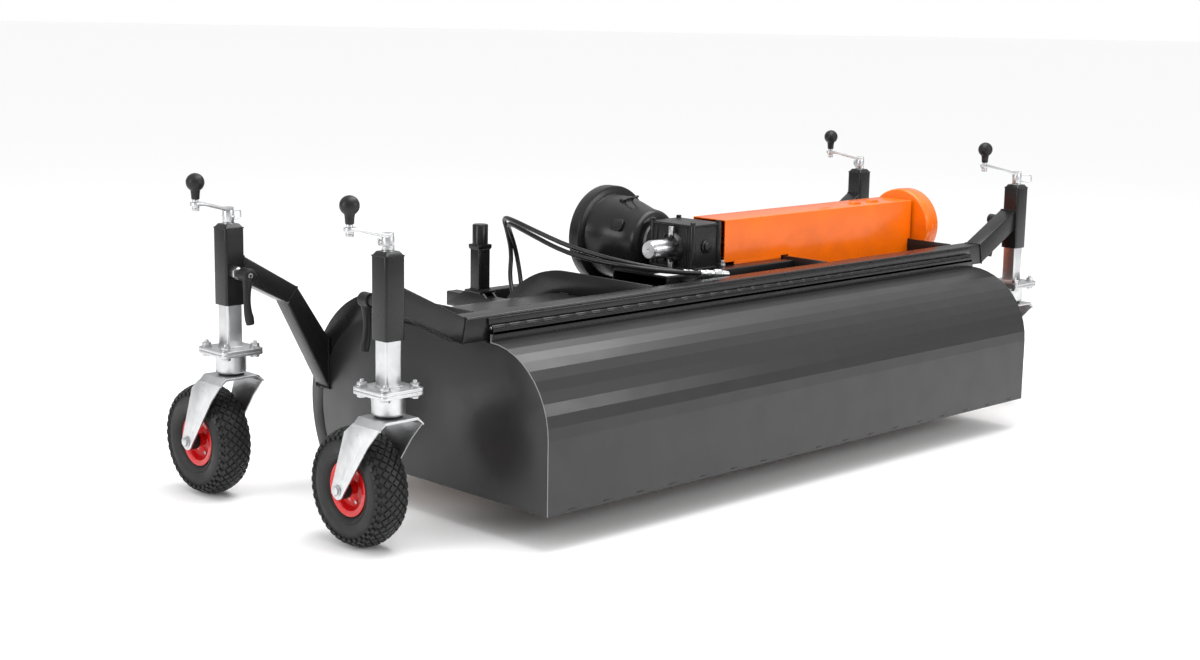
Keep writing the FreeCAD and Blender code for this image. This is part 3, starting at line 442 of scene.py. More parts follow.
painted("housing black", "black_paint", (0.017, 0.017, 0.0175), 0.32, coat=0.1, depth=0.04,
        dust=0.01, shine=0.36)
painted("frame black", "black_paint", (0.008, 0.008, 0.0085), 0.28, coat=0.08, depth=0.05, dust=0.01)
# A light grey for the flap's cut ends: a painted highlight, standing in for the light along them.
painted("painted edge highlight", "black_paint", (0.24, 0.24, 0.25), 0.45, dust=0.0)
painted("cover orange", "orange_paint", (0.90, 0.150, 0.001), 0.28, coat=0.5, scale=700, depth=0.06,
        dust=0.03)
painted("wheel red", "red_paint", (0.52, 0.003, 0.004), 0.28, coat=0.4, scale=800, depth=0.05,
        dust=0.0)
painted("casting black", "black_cast", (0.010, 0.010, 0.010), 0.34, coat=0.1, scale=260, depth=4.0,
        spread=0.1)
painted("bell plastic", "black_plastic", (0.008, 0.008, 0.008), 0.28, scale=500, depth=0.5)
painted("knob plastic", "black_plastic", (0.009, 0.009, 0.010), 0.42, scale=700, depth=1.0)
painted("tyre rubber", "tyre_rubber", (0.018, 0.018, 0.018), 0.55, scale=330, depth=1.0, dust=0.2,
        spread=0.1)
painted("label white", "black_paint", (0.62, 0.62, 0.62), 0.5, dust=0.0)
metal("bright zinc", "zinc", (0.60, 0.605, 0.61), (0.52, 0.525, 0.535), 0.36, along=(1, 1, 5),
      depth=0.02)
metal("turned steel", "steel", (0.62, 0.62, 0.63), (0.45, 0.45, 0.46), 0.28, along=(1, 14, 14))
print(len(FINISHES), "finishes")

# %% [markdown]
# ## From shapes to pieces
# A piece is a shape in metres with a finish, which rides on one body of the model and may stand
# for CAD nodes. Smooth shading with sharp edges kept by angle shows curved faces as curved and flat
# faces as flat.

# %% Pieces
def finish(shape, name, body, coat, *stands_for, crease=40, ends=None):
    """Make a shape a piece; ends names a second finish, for faces that look along X."""
    bmesh.ops.transform(shape, matrix=TO_ROW, verts=shape.verts)
    mesh = bpy.data.meshes.new(name)
    shape.to_mesh(mesh)
    shape.free()
    material, slot = FINISHES[coat]
    mesh.materials.append(material)
    mesh.shade_smooth()
    mesh.set_sharp_from_angle(angle=math.radians(crease))
    if ends:
        mesh.materials.append(FINISHES[ends][0])
        for face in mesh.polygons:
            face.material_index = int(abs(face.normal.x) > 0.5)
    piece = bpy.data.objects.new(name, mesh)
    bpy.context.collection.objects.link(piece)
    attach(piece, body)
    if stands_for:
        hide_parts(*stands_for)
    return piece


# %% [markdown]
# ## Hydraulic hoses
# Two 12 mm hoses leave the unions behind the hood, rise, bend forward over the deck and end in
# quick couplings behind the beam. A hose is a smooth curve with a few control points, because a
# stiff hose never has a straight run between two tight corners. Each coupling has a hexagon, a
# knurled sleeve and a nose, in line with the hose's end.

# %% Hoses
painted("hose rubber", "hose_rubber", (0.010, 0.010, 0.010), 0.28, scale=1200, depth=1.0)
HOSES = {
    "pressure": [(-284, 596, 338), (-262, 618, 380), (-244, 654, 428), (-226, 666, 490),
                 (-250, 660, 554), (-300, 618, 593), (-326, 548, 592), (-314, 466, 568),
                 (-290, 378, 540), (-264, 285, 522), (-226, 205, 508), (-172, 158, 496),
                 (-118, 132, 487)],
    "return": [(-252, 596, 338), (-228, 622, 388), (-212, 650, 440), (-217, 663, 504),
               (-262, 642, 564), (-306, 586, 581), (-312, 498, 560), (-300, 404, 530),
               (-284, 312, 514), (-262, 222, 508), (-214, 154, 500), (-154, 116, 493),
               (-94, 98, 488)],
}


def smooth_curve(name, points, radii, thickness, sides, steps):
    """A smooth curve led by control points, which starts and ends in the outer two."""
    data = bpy.data.curves.new(name, "CURVE")
    data.dimensions, data.bevel_depth, data.bevel_resolution = "3D", thickness, sides
    data.resolution_u = steps
    line = data.splines.new("NURBS")
    line.points.add(len(points) - 1)
    for point, spot, radius in zip(line.points, points, radii):
        point.co, point.radius = (*spot, 1), radius
    line.order_u = 3
    line.use_endpoint_u = True
    return data


def hose(name, route):
    data = smooth_curve(name, [row(*spot) for spot in route], [1.0] * len(route), 6 * MM, 6, 16)
    data.materials.append(FINISHES["hose rubber"][0])
    piece = bpy.data.objects.new(name + "_hose_line", data)
    bpy.context.collection.objects.link(piece)
    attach(piece, "chassis")
    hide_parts(name + "_hose")
    return piece


def coupling(name, route):
    nose, before = Vector(route[-1]), Vector(route[-2])
    along = (nose - before).normalized()

    def ring(first, last, radius, sides=32, edge=0.8):
        return rod(nose + along * first, nose + along * last, radius, sides=sides, edge=edge)

    knurls = [ring(27 + 3 * i, 28.6 + 3 * i, 11.8, edge=0.5) for i in range(5)]
    shape = together(ring(-16, 3, 8.2), ring(0, 12, 9, sides=6), ring(10, 25, 8),
                     ring(24, 46, 11, edge=1.4), *knurls, ring(45, 60, 8.6), ring(59, 66, 7.2))
    return finish(shape, name + "_coupling", "chassis", "bright zinc", "hose_couplings")


for name, route in HOSES.items():
    line, end_piece = hose(name, route), coupling(name, route)
    print(name, "hose: exit at", [round(v, 3) for v in row(*route[0])])

# %% [markdown]
# ## Housing
# The hood, the side plates and the ribs are bent or cut sheet. The hood is drawn as its section
# and pulled across the machine, so its curve stays one smooth surface. The plates get a hair of
# rounding at their cut edges, which is what catches the light on real laser-cut sheet.

# %% Hood, side plates and ribs
HALF, SHEET, PLATE, SKIRT, DECK = 897, 3, 5, 81, 429
HOOD_Y, HOOD_Z, HOOD_R = 357, 199, 230
RIB_Z, RIB_R, RIB_THICK, RIB_X = 205, 280, 8, 328
FLAP_FRONT, FLAP_R, FLAP_TOP_Y = 198, 185, -13
FLAP_Z = DECK - FLAP_R


def low_angle(radius, centre_z):
    """The angle at which an arc about the hood's centre meets the skirt's height."""
    return -math.degrees(math.asin((centre_z - SKIRT) / radius))


def hood_section():
    outer = arc(HOOD_Y, HOOD_Z, HOOD_R, 90, low_angle(HOOD_R, HOOD_Z), 44)
    inner = arc(HOOD_Y, HOOD_Z, HOOD_R - SHEET, low_angle(HOOD_R - SHEET, HOOD_Z), 90, 44)
    return [(0, DECK - SHEET), (0, DECK), *outer, *inner]


def side_section():
    reach = FLAP_R - SHEET - 1.5
    front = arc(FLAP_TOP_Y, FLAP_Z, reach, 180, 90, 24)
    back = arc(HOOD_Y, HOOD_Z, HOOD_R, 90, low_angle(HOOD_R, HOOD_Z), 44)
    return [(FLAP_TOP_Y - reach, SKIRT), *front, (0, FLAP_Z + reach), (0, DECK), *back]


def rib_section():
    top = RIB_Z + RIB_R
    outer = arc(HOOD_Y, RIB_Z, RIB_R, 90, low_angle(RIB_R, RIB_Z), 44)
    inner = arc(HOOD_Y, HOOD_Z, HOOD_R, low_angle(HOOD_R, HOOD_Z), 90, 44)
    return [(BEAM + 2, DECK), (BEAM + 2, top), *outer, *inner]


sheet = slab(hood_section(), "YZ", -(HALF - PLATE), 2 * (HALF - PLATE), edge=0)
finish(sheet, "hood_sheet", "chassis", "housing black", "hood", crease=30)
for label, x in (("left", -HALF), ("right", HALF - PLATE)):
    shape = slab(side_section(), "YZ", x, PLATE, edge=0.9)
    finish(shape, label + "_side", "chassis", "housing black", label + "_side_plate", crease=30)
ribs = [slab(rib_section(), "YZ", x, RIB_THICK, edge=0.9)
        for x in (PLATE - HALF, -RIB_X - 4, RIB_X - 4, HALF - PLATE - RIB_THICK)]
seams = [bead([(x, 64 + 90 * i, DECK + 1), (x, 94 + 90 * i, DECK + 1)], 2.2)
         for x in (-RIB_X - 6, RIB_X - 6) for i in range(4)]
finish(together(*ribs, *seams), "hood_rib_plates", "chassis", "frame black", "hood_ribs", crease=30)
print("hood section has", len(hood_section()), "points")

# %% [markdown]
# ## Beam, flap and piano hinge
# The flap is folded on a press brake, so its curve is a row of narrow flats. A small crease angle
# keeps them. Its cut ends are painted light grey, a painted highlight for the line of light along
# them. The hinge's knuckles alternate between the beam's leaf and the flap's, and each set rides
# with its own side.

# %% Beam and hinge
BEAM_HALF, MITRE = 953, 11
HINGE_Y, HINGE_Z, KNUCKLE, PITCH = -8, 457, 6.5, 99
HINGES = int(2 * HALF / PITCH)
STITCHES, STITCH_PITCH = 15, 118

ends = [(-BEAM_HALF - MITRE, DECK), (BEAM_HALF + MITRE, DECK), (BEAM_HALF, DECK + BEAM),
        (-BEAM_HALF, DECK + BEAM)]
tube = slab(ends, "XZ", 0, BEAM, edge=4, segments=4)
leaf = block(-HALF + 2, HALF - 2, -6, 0.5, HINGE_Z + 7.2, HINGE_Z + 21, edge=0.6)


def stitches(first, length, y, z, radius):
    """A row of short hand welds along the machine."""
    starts = [first + STITCH_PITCH * i for i in range(STITCHES)]
    return [bead([(x, y, z), (x + length, y, z)], radius) for x in starts]


tacks = stitches(-HALF + 44, 24, -0.6, HINGE_Z + 21.4, 2.2)
welds = [bead([(s * (BEAM_HALF + MITRE), y, DECK), (s * BEAM_HALF, y, DECK + BEAM)], 2.4)
         for s in (-1, 1) for y in (0, BEAM - 5)]
welds += [bead([(s * BEAM_HALF, 0, DECK + BEAM), (s * BEAM_HALF, 50, DECK + BEAM)], 2.4)
          for s in (-1, 1)]
finish(together(tube, leaf, *tacks, *welds), "beam_tube", "chassis", "frame black", "front_beam")


def knuckles(first, tab):
    """One side's knuckles: rolled barrels, each with its tab."""
    made = []
    for i in range(HINGES):
        x = -HALF + 6 + i * PITCH + first
        made.append(rod((x, HINGE_Y, HINGE_Z), (x + 49, HINGE_Y, HINGE_Z), KNUCKLE - 0.2, sides=24,
                        edge=0.2))
        made.append(block(x + 0.2, x + 48.8, *tab, edge=0.2))
    return together(*made)


finish(knuckles(0, (HINGE_Y, 0.3, HINGE_Z - 3.8, HINGE_Z + 3.8)), "beam_knuckles", "chassis",
       "frame black")
finish(rod((-HALF + 4, HINGE_Y, HINGE_Z), (HALF - 4, HINGE_Y, HINGE_Z), 3, sides=16), "hinge_rod",
       "chassis", "bright zinc", "hinge_pin")
print(HINGES, "pairs of knuckles")

# %% Flap
FACETS = 11


def flap_section():
    """The folded sheet: a rail strip, a curve in flats and a straight skirt."""
    outer = arc(FLAP_TOP_Y, FLAP_Z, FLAP_R, 91, 180, FACETS)
    inner = arc(FLAP_TOP_Y, FLAP_Z, FLAP_R - SHEET, 180, 90, FACETS)
    return [(FLAP_TOP_Y, DECK - SHEET), (FLAP_TOP_Y, HINGE_Z - 12),
            (FLAP_TOP_Y - SHEET, HINGE_Z - 12), *outer, (-FLAP_FRONT, SKIRT),
            (-FLAP_FRONT + SHEET, SKIRT), *inner[:-1]]


skin = slab(flap_section(), "YZ", -HALF, 2 * HALF, edge=0)
# The end faces take the painted edge highlight, a light grey in place of the light along them.
finish(skin, "flap_skin", "flap", "housing black", "flap", crease=4, ends="painted edge highlight")
RAIL_TOP, RAIL_FACE, RAIL_END = HINGE_Z - 7, FLAP_TOP_Y - 4, HALF - 5
rail = block(-RAIL_END, RAIL_END, RAIL_FACE, FLAP_TOP_Y - SHEET / 2, DECK - 4, RAIL_TOP, edge=0.8)
leaf = block(-RAIL_END, RAIL_END, RAIL_FACE, FLAP_TOP_Y - 1.6, RAIL_TOP - 7, HINGE_Z - 1.5,
             edge=0.4)
tacks = stitches(-HALF + 40, 26, RAIL_FACE, DECK - 3, 2.4)
studs = [block(-HALF + 60 + 104 * i, -HALF + 84 + 104 * i, -FLAP_FRONT - 0.8, -FLAP_FRONT + 1,
               SKIRT + 5, SKIRT + 8, edge=0.3) for i in range(17)]
finish(together(rail, leaf, *tacks, *studs), "flap_rail", "flap", "frame black")
finish(knuckles(PITCH / 2, (HINGE_Y - 6, HINGE_Y - 1.5, HINGE_Z - 14, HINGE_Z - 1)), "flap_knuckles",
       "flap", "frame black")
print("the flap has", FACETS, "flats")

# %% [markdown]
# ## Arms and posts
# Each castor hangs from a post at the end of a square-tube arm. The tubes have rolled corners, so
# their long edges get a real radius. The post is open below, where the leg slides in, and its cap
# is chamfered. Hand welds run round each joint.

# %% Arms and posts
POST, POST_LOW, POST_HIGH, POST_CAP, POST_BORE, BORE_DEPTH = 50, 459, 633, 642, 41, 171
CLAMP_Z = 533
CORNERS = {  # side, end, leg X and Y, crank angle
    "front_left": (-1, "front", -1148, 17, 180), "front_right": (1, "front", 1148, 17, 138),
    "rear_left": (-1, "rear", -1152, 586, 190), "rear_right": (1, "rear", 1152, 586, 145),
}


def arm_section(x, end):
    """Front view (X, Z) of the left arm."""
    face = -(abs(x) - POST / 2)
    if end == "front":
        return [(-BEAM_HALF, DECK + BEAM), (face, DECK + 139), (face, DECK + 81),
                (-BEAM_HALF - MITRE, DECK)]
    return [(-HALF, DECK - 74), (-HALF - 88, DECK + 57), (face, DECK + 139), (face, DECK + 80),
            (-HALF - 115, DECK + 21), (-HALF, DECK - 196)]


def post_shape(x, y):
    """A square tube, open below, with a chamfered cap."""
    half = POST / 2
    shape = slab(square(x, y, half), "XY", POST_LOW, POST_HIGH - POST_LOW, corner=6, edge=0)
    lid = max(shape.faces, key=lambda f: f.calc_center_median().z)
    grown = bmesh.ops.extrude_face_region(shape, geom=[lid])
    verts = [item for item in grown["geom"] if isinstance(item, bmesh.types.BMVert)]
    if lid.is_valid:
        bmesh.ops.delete(shape, geom=[lid], context="FACES_ONLY")
    bmesh.ops.translate(shape, vec=(0, 0, POST_CAP - POST_HIGH), verts=verts)
    bmesh.ops.scale(shape, vec=(0.72, 0.72, 1), verts=verts, space=Matrix.Translation((-x, -y, 0)))
    mouth = min(shape.faces, key=lambda f: f.calc_center_median().z)
    bmesh.ops.inset_region(shape, faces=[mouth], thickness=half - POST_BORE / 2, depth=0)
    well = bmesh.ops.extrude_face_region(shape, geom=[mouth])
    verts = [item for item in well["geom"] if isinstance(item, bmesh.types.BMVert)]
    if mouth.is_valid:
        bmesh.ops.delete(shape, geom=[mouth], context="FACES_ONLY")
    bmesh.ops.translate(shape, vec=(0, 0, BORE_DEPTH), verts=verts)
    bmesh.ops.recalc_face_normals(shape, faces=shape.faces)
    return soften(shape, 0.6, 2, 28)


for corner, (side_x, end, x, y, angle) in CORNERS.items():
    outline = arm_section(x, end)
    if side_x > 0:
        outline = [(-u, v) for u, v in outline]
    start = 0 if end == "front" else y - 25
    arm = slab(outline, "XZ", start, 50, edge=4, segments=4)
    face = x - side_x * POST / 2
    low, high = (DECK + 81, DECK + 139) if end == "front" else (DECK + 80, DECK + 139)
    mid = start + 25
    seams = [bead([(face, mid - 22, low), (face, mid - 22, high), (face, mid + 22, high),
                   (face, mid + 22, low), (face, mid - 22, low)], 2.6)]
    if end == "rear":
        foot = side_x * (HALF + 1)
        seams.append(bead([(side_x * (HALF + 88), start, DECK + 57),
                           (side_x * (HALF + 115), start, DECK + 21)], 2.6))
        seams.append(bead([(foot, start, DECK - 74), (foot, start, DECK - 196),
                           (foot, start + 50, DECK - 196), (foot, start + 50, DECK - 74),
                           (foot, start, DECK - 74)], 2.8))
    ring = square_seam(x, y, POST / 2 - 1.2, POST_HIGH, 1.5, 2.4)
    finish(together(arm, post_shape(x, y), ring, *seams), corner + "_arm_tube", "chassis",
           "frame black", corner + "_arm", crease=30)
    out = 1 if end == "front" else -1
    boss = rod((x, y + out * POST / 2, CLAMP_Z), (x, y + out * (POST / 2 + 12), CLAMP_Z), 15, sides=6,
               edge=1)
    washer = rod((x, y, POST_CAP - 1), (x, y, POST_CAP + 0.9), 13.5)
    finish(together(boss, washer), corner + "_clamp_nut", "chassis", "bright zinc")
print("four arms with posts")

# %% [markdown]
# ## Legs and castor heads
# The leg is bright zinc: a square tube with a bolting plate. The castor has a plate of the same
# size and a turned bearing housing. Four bolts with washers hold them together, heads below and
# thread ends standing out of the nuts.

# %% Legs and castor heads
FLANGE_TOP, FLANGE_THICK, SPREAD, LEG, PLATE_HALF = 361, 7.5, 38.5, 40, 54


def plate_with_corners(x, y, z, thick):
    return slab(square(x, y, PLATE_HALF), "XY", z, thick, corner=10, edge=0.9)


def bolt(x, y):
    """Head and washer below the plates, nut, washer and thread above."""
    low, high = FLANGE_TOP - 2 * FLANGE_THICK, FLANGE_TOP
    threads = [rod((x, y, high + 9.4 + 1.5 * i), (x, y, high + 10.6 + 1.5 * i), 5, 4.4, sides=16,
                   edge=0) for i in range(4)]
    return together(rod((x, y, low - 7.4), (x, y, low - 1.6), 10.8, sides=6, edge=1),
                    rod((x, y, low - 1.6), (x, y, low), 12.4, edge=0.4),
                    rod((x, y, high), (x, y, high + 1.6), 12.4, edge=0.4),
                    rod((x, y, high + 1.6), (x, y, high + 9.6), 10.8, sides=6, edge=1),
                    rod((x, y, high + 8), (x, y, high + 15.5), 4.4, sides=16, edge=0.8), *threads)


for corner, (side_x, end, x, y, angle) in CORNERS.items():
    half = LEG / 2
    tube = slab(square(x, y, half), "XY", FLANGE_TOP, 184, corner=5, edge=0.5)
    seam = square_seam(x, y, half - 1, FLANGE_TOP + 1, 2.8)
    upper = plate_with_corners(x, y, FLANGE_TOP - FLANGE_THICK, FLANGE_THICK - 0.2)
    finish(together(tube, seam, upper), corner + "_leg_tube", corner + "_leg", "bright zinc",
           corner + "_leg")
    lower = plate_with_corners(x, y, FLANGE_TOP - 2 * FLANGE_THICK, FLANGE_THICK - 0.2)
    housing = lathe([(0, 346), (33, 346), (37, 346), (35, 341), (35, 308), (33.5, 304.5), (29, 302),
                     (26, 301.2), (0, 301.2)], (x, y, 0))
    bolts = [bolt(x + i * SPREAD, y + j * SPREAD) for i in (-1, 1) for j in (-1, 1)]
    finish(together(lower, housing, *bolts), corner + "_head", corner + "_leg", "bright zinc",
           corner + "_castor_head")
print("four legs")

# %% [markdown]
# ## Forks
# The fork is pressed from one sheet: a crown that bends down into two legs, each with a long
# stiffening swage, and a rounded eye for the axle. The crown is drawn in front view with its sloping
# shoulders, and the legs in side view.

# %% Forks
CROWN, TRAIL, AXLE_Z, INNER, THICK, SHOULDER = 298, 100, 130, 54, 4.5, 15


def fork_leg():
    eye = arc(TRAIL, AXLE_Z, 20, 10, -160, 14)
    return [(-44.5, 285), (44.5, 285), (74, 262), *eye, (-5, 242)]


def swage():
    """A long tapered rib along the leg, from the crown's shoulder to above the axle."""
    wide = arc(24, 250, 15, 30, 210, 8)
    narrow = arc(80, 160, 8, 210, 390, 8)
    return wide + narrow


def fork_shape(x, y):
    outer = INNER + THICK
    low, under = CROWN - SHOULDER, CROWN - 6
    right = [(outer, low - 3), (INNER, low - 3), (INNER, low), (outer - SHOULDER - 2, under)]
    section = (right + [(-u, v) for u, v in reversed(right)]
               + [(-outer, low), (SHOULDER - outer, CROWN - 0.1), (outer - SHOULDER, CROWN - 0.1),
                  (outer, low)])
    crown = slab(section, "XZ", -45, 90, edge=0)
    soften(crown, 1.6, 3, 20)
    shapes = [crown]
    for side_x in (-1, 1):
        inner = side_x * INNER - (THICK - 0.2 if side_x < 0 else -0.1)
        shapes.append(slab(fork_leg(), "YZ", inner, THICK - 0.3, edge=0.7))
        rib = slab(swage(), "YZ", side_x * outer - (2.2 if side_x > 0 else 0.4), 2.6, edge=0)
        face = max(rib.faces, key=lambda f: side_x * f.calc_center_median().x)
        centre = face.calc_center_median()
        bmesh.ops.scale(rib, vec=(1, 0.86, 0.95), verts=face.verts,
                        space=Matrix.Translation(-centre))
        shapes.append(soften(rib, 0.7, 3, 30))
    shapes.append(rod((0, 0, CROWN - 1), (0, 0, 300.4), 24, edge=0.6))
    shapes.append(rod((0, 0, 300), (0, 0, 330), 11.9))
    reach = outer + 0.2

    def along_axle(first, last, radius, **how):
        return rod((first, TRAIL, AXLE_Z), (last, TRAIL, AXLE_Z), radius, **how)

    for side_x in (-1, 1):
        shapes.append(along_axle(side_x * reach, side_x * (reach + 1.6), 12.5, edge=0.4))
    shapes.append(along_axle(-reach - 1.6, -reach - 7.6, 10.8, sides=6, edge=1.2))
    shapes.append(along_axle(reach + 1.6, reach + 7.8, 10.8, sides=6, edge=1.2))
    shapes.append(along_axle(reach + 7, reach + 9.8, 5.6, sides=20))
    shapes.append(along_axle(-reach, reach, 5.9, sides=20))
    return move(together(*shapes), x, y)


for corner, (side_x, end, x, y, angle) in CORNERS.items():
    finish(fork_shape(x, y), corner + "_fork_frame", corner + "_fork", "bright zinc", corner + "_fork",
           crease=30)
    seal = lathe([(24.6, 298.4), (28.4, 298.4), (29.2, 300), (28.4, 301.6), (24.6, 301.6)], (x, y, 0),
                 closed=True)
    finish(seal, corner + "_seal", corner + "_leg", "knob plastic")
print("four forks")

# %% [markdown]
# ## Wheels
# A 260 mm pneumatic tyre with a diamond tread on a red pressed rim. Each tread block is a small
# tapered diamond, set on the tyre's crown and repeated round it with one spin. The rim is a single
# spun profile, with a dish, a bead flange and its hub tube.

# %% Tyres and rims
WHEEL_R, WIDTH, RIM_R = 130, 85, 61


def carcass():
    half = [(50.5, 24), (58, 26), (RIM_R + 1.5, 27), (66, 33), (70, 37.4), (74, 39.2), (75, 39.9),
            (76, 38.6), (84, 41.4), (92, 41.4), (99, 40), (100.5, 41.2), (103, 39.4), (111, 35.5),
            (116.5, 31), (121.6, 21), (125.4, 10), (126.4, 0)]
    outer = half + [(r, -w) for r, w in reversed(half[:-1])]
    lining = [(66, -30), (84, -33), (104, -31), (116, -18), (118, 18), (104, 31), (84, 33), (66, 30)]
    return outer + [(52, -16), *lining, (52, 16)]


BLOCKS, ROWS = 38, 7  # tread blocks round the tyre in each row, and rows of diamonds across it


def crown_radius(across):
    return WHEEL_R - 0.2 - 0.0095 * across ** 2


def tread_block(across, half_width, half_length, turned, slope, radius):
    """One tapered block, standing on the tyre at a distance from its middle plane."""
    shape = bmesh.new()
    bmesh.ops.create_cube(shape, size=1)
    if turned:
        bmesh.ops.rotate(shape, cent=(0, 0, 0), matrix=Matrix.Rotation(math.pi / 4, 3, "Z"),
                         verts=shape.verts)
    reach = max(v.co.x for v in shape.verts)
    bmesh.ops.scale(shape, vec=(half_width / reach, half_length / reach, 8), verts=shape.verts)
    crown_verts = [v for v in shape.verts if v.co.z > 0]
    bmesh.ops.scale(shape, vec=(0.8, 0.8, 1), verts=crown_verts)
    bmesh.ops.rotate(shape, cent=(0, 0, 0), matrix=Matrix.Rotation(math.radians(slope), 3, "Y"),
                     verts=shape.verts)
    bmesh.ops.translate(shape, vec=(across, 0, radius - 4), verts=shape.verts)
    return shape


def tread():
    shapes = []
    step = 2 * math.pi * WHEEL_R / BLOCKS
    for k in range(-(ROWS // 2), ROWS // 2 + 1):
        across = 9.4 * k
        shape = tread_block(across, 8.4, 0.45 * step, True, math.degrees(math.atan(0.019 * across)),
                            crown_radius(across))
        shapes.append(ring_of(move(shape, turn=180 / BLOCKS * (k % 2), axis="X"), BLOCKS))
    for s in (-1, 1):
        shoulder = tread_block(s * 35.2, 3.6, 0.3 * step, False, s * 44, 118.2)
        shapes.append(ring_of(move(shoulder, turn=180 / BLOCKS, axis="X"), BLOCKS))
        lug = tread_block(s * 37.4, 4.2, 0.24 * step, False, s * 66, 112.6)
        shapes.append(ring_of(lug, BLOCKS))
    return together(*shapes)


def rim_shape():
    half = [(6.1, 52), (14.5, 52), (15, 51), (15, 14), (17, 12.5), (21, 11), (27, 8.5), (31, 8),
            (37, 9.5), (42, 14), (45.2, 20), (46.4, 27), (48.5, 30.4), (54, 31.4), (58, 32.2),
            (60.6, 31.6), (61, 29.8), (59.6, 28.8), (54, 28.8), (51.5, 27), (50.4, 22)]
    return half + [(r, -w) for r, w in reversed(half)]


for corner, (side_x, end, x, y, angle) in CORNERS.items():
    hub = (x, y + TRAIL, AXLE_Z)
    rubber = lathe(carcass(), hub, "X", steps=96, closed=True)
    finish(together(rubber, move(tread(), *hub)), corner + "_tread_tyre", corner + "_wheel",
           "tyre rubber", corner + "_tyre", crease=32)
    rim = lathe(rim_shape(), hub, "X", steps=72, closed=True)
    rim_bolts = [rod((x + s * 6, y + TRAIL, AXLE_Z), (x + s * 11.5, y + TRAIL, AXLE_Z), 5, sides=6)
                 for s in (-1, 1)]
    ring_bolts = [ring_of(move(shape, z=34), 4, hub) for shape in rim_bolts]
    finish(rim, corner + "_red_rim", corner + "_wheel", "wheel red", corner + "_rim", crease=30)
    finish(together(*ring_bolts), corner + "_rim_bolts", corner + "_wheel", "bright zinc")
    bushes = [lathe([(6.1, s * 30), (14, s * 30), (19.5, s * 34), (20.5, s * 41), (18, s * 51.8),
                     (15.5, s * 53.6), (6.1, s * 53.6)], hub, "X", steps=36, closed=True)
              for s in (-1, 1)]
    valve = rod((x - 33, y + TRAIL + 30, AXLE_Z + 42), (x - 12, y + TRAIL + 27, AXLE_Z + 38), 3.4, 4.4,
                sides=16)
    finish(together(*bushes, valve), corner + "_hub_bushes", corner + "_wheel", "knob plastic")
print("four wheels; tread blocks on each:", BLOCKS * (ROWS + 4))

# %% [markdown]
# ## Cranks, knobs and clamp levers
# A crank is a flat bar with rounded ends on a round hub. A locking pin passes through the hub, and
# its wire bail snaps round it. The knob is one turned profile. The clamp lever has a hub with a
# socket screw and a long curved handle, for which a tapered curve is the natural tool.

# %% Wires and handles
def tapered(points, radii, sides=3, flat=1.0):
    """A round bar along a smooth curve, with a radius at each point; flat squashes it along Y."""
    data = smooth_curve("bar", points, radii, 1.0, sides, 8)
    data.use_fill_caps = True
    shape = curve_shape(data)
    bmesh.ops.scale(shape, vec=(1, flat, 1), verts=shape.verts,
                    space=Matrix.Translation(-Vector(points[0])))
    bmesh.ops.recalc_face_normals(shape, faces=shape.faces)
    return shape


# %% Cranks
HUB_LOW, HUB_TOP, REACH, RISE, BALL_Z = 643, 679, 96, 18, 741


def crank_bar():
    """The bar in side view, with its bend, then rounded in plan by bevelling its end corners."""
    level = HUB_TOP - 8
    side_view = [(-12, level), (12, level), (REACH - 16, level + RISE), (REACH + 11.8, level + RISE),
                 (REACH + 11.8, HUB_TOP + RISE), (REACH - 16, HUB_TOP + RISE), (12, HUB_TOP),
                 (-12, HUB_TOP)]
    shape = slab(side_view, "XZ", -10.9, 21.8, edge=0)
    tips = [e for e in shape.edges if abs(e.verts[0].co.z - e.verts[1].co.z) > 5
            and abs(e.verts[0].co.x - e.verts[1].co.x) < 0.01]
    return soften(rounded(shape, tips, 9.5, segments=6), 0.6, 2, 50)


def crank_shape():
    top = HUB_TOP + RISE
    hub = lathe([(0, HUB_LOW), (12.4, HUB_LOW), (13, HUB_LOW + 1.2), (13, HUB_TOP - 8),
                 (12.2, HUB_TOP - 6.2), (0, HUB_TOP - 6.2)])
    pin = rod((0, -18, HUB_LOW + 15), (0, 18, HUB_LOW + 15), 3, sides=20)
    spindle = rod((0, 0, 471), (0, 0, HUB_LOW + 4), 7.9)
    under = rod((REACH, 0, top - 19), (REACH, 0, top - 12), 8.4, sides=6, edge=0.9)
    washer = rod((REACH, 0, top - 12), (REACH, 0, top - 11.1 + 5), 8.2)
    spacer = rod((REACH, 0, top), (REACH, 0, top + 6.4), 6.6, edge=0.8)
    stud = rod((REACH, 0, top), (REACH, 0, BALL_Z), 3.9, sides=20)
    return together(crank_bar(), hub, pin, spindle, under, washer, spacer, stud)


def long_bail():
    """A square wire bail that stands out behind the hub, upright."""
    z = HUB_LOW + 15
    path = [(0, -17, z + 3), (-10, -16, z + 8), (-24, -12, z + 10), (-38, -9, z + 10),
            (-44, -8, z + 9), (-45, -8, z + 4), (-45, -8, z - 4), (-44, -8, z - 8),
            (-38, -9, z - 9), (-24, -12, z - 9), (-10, -16, z - 7), (0, -17, z - 3)]
    return tapered(path, [1.7] * len(path))


def ring_bail():
    """A round spring bail, closed round the hub, with its coil beside the pin."""
    z = HUB_LOW + 15
    path = [(0, -17, z), (5, -18.5, z + 5), (13, -17, z + 9), (17, -8, z + 4), (18, 2, z - 4),
            (15, 12, z - 9), (6, 18, z - 6), (0, 17.5, z)]
    loop = [(4 + 6 * math.cos(t), -18 - 1.1 * t / 3, z + 6 * math.sin(t))
            for t in [i * 0.7 for i in range(16)]]
    return together(tapered(path, [1.4] * len(path)), tapered(loop, [1.3] * len(loop)))


def knob_shape():
    low = 704
    ball = arc(0, BALL_Z, 20.4, -58, 90, 22)
    profile = [(4.05, low), (8.2, low), (9, low + 1), (9.4, low + 9), (10.2, low + 16)] + ball[:-1]
    return lathe(profile + [(0, BALL_Z + 20.4)], (REACH, 0, 0), steps=48)


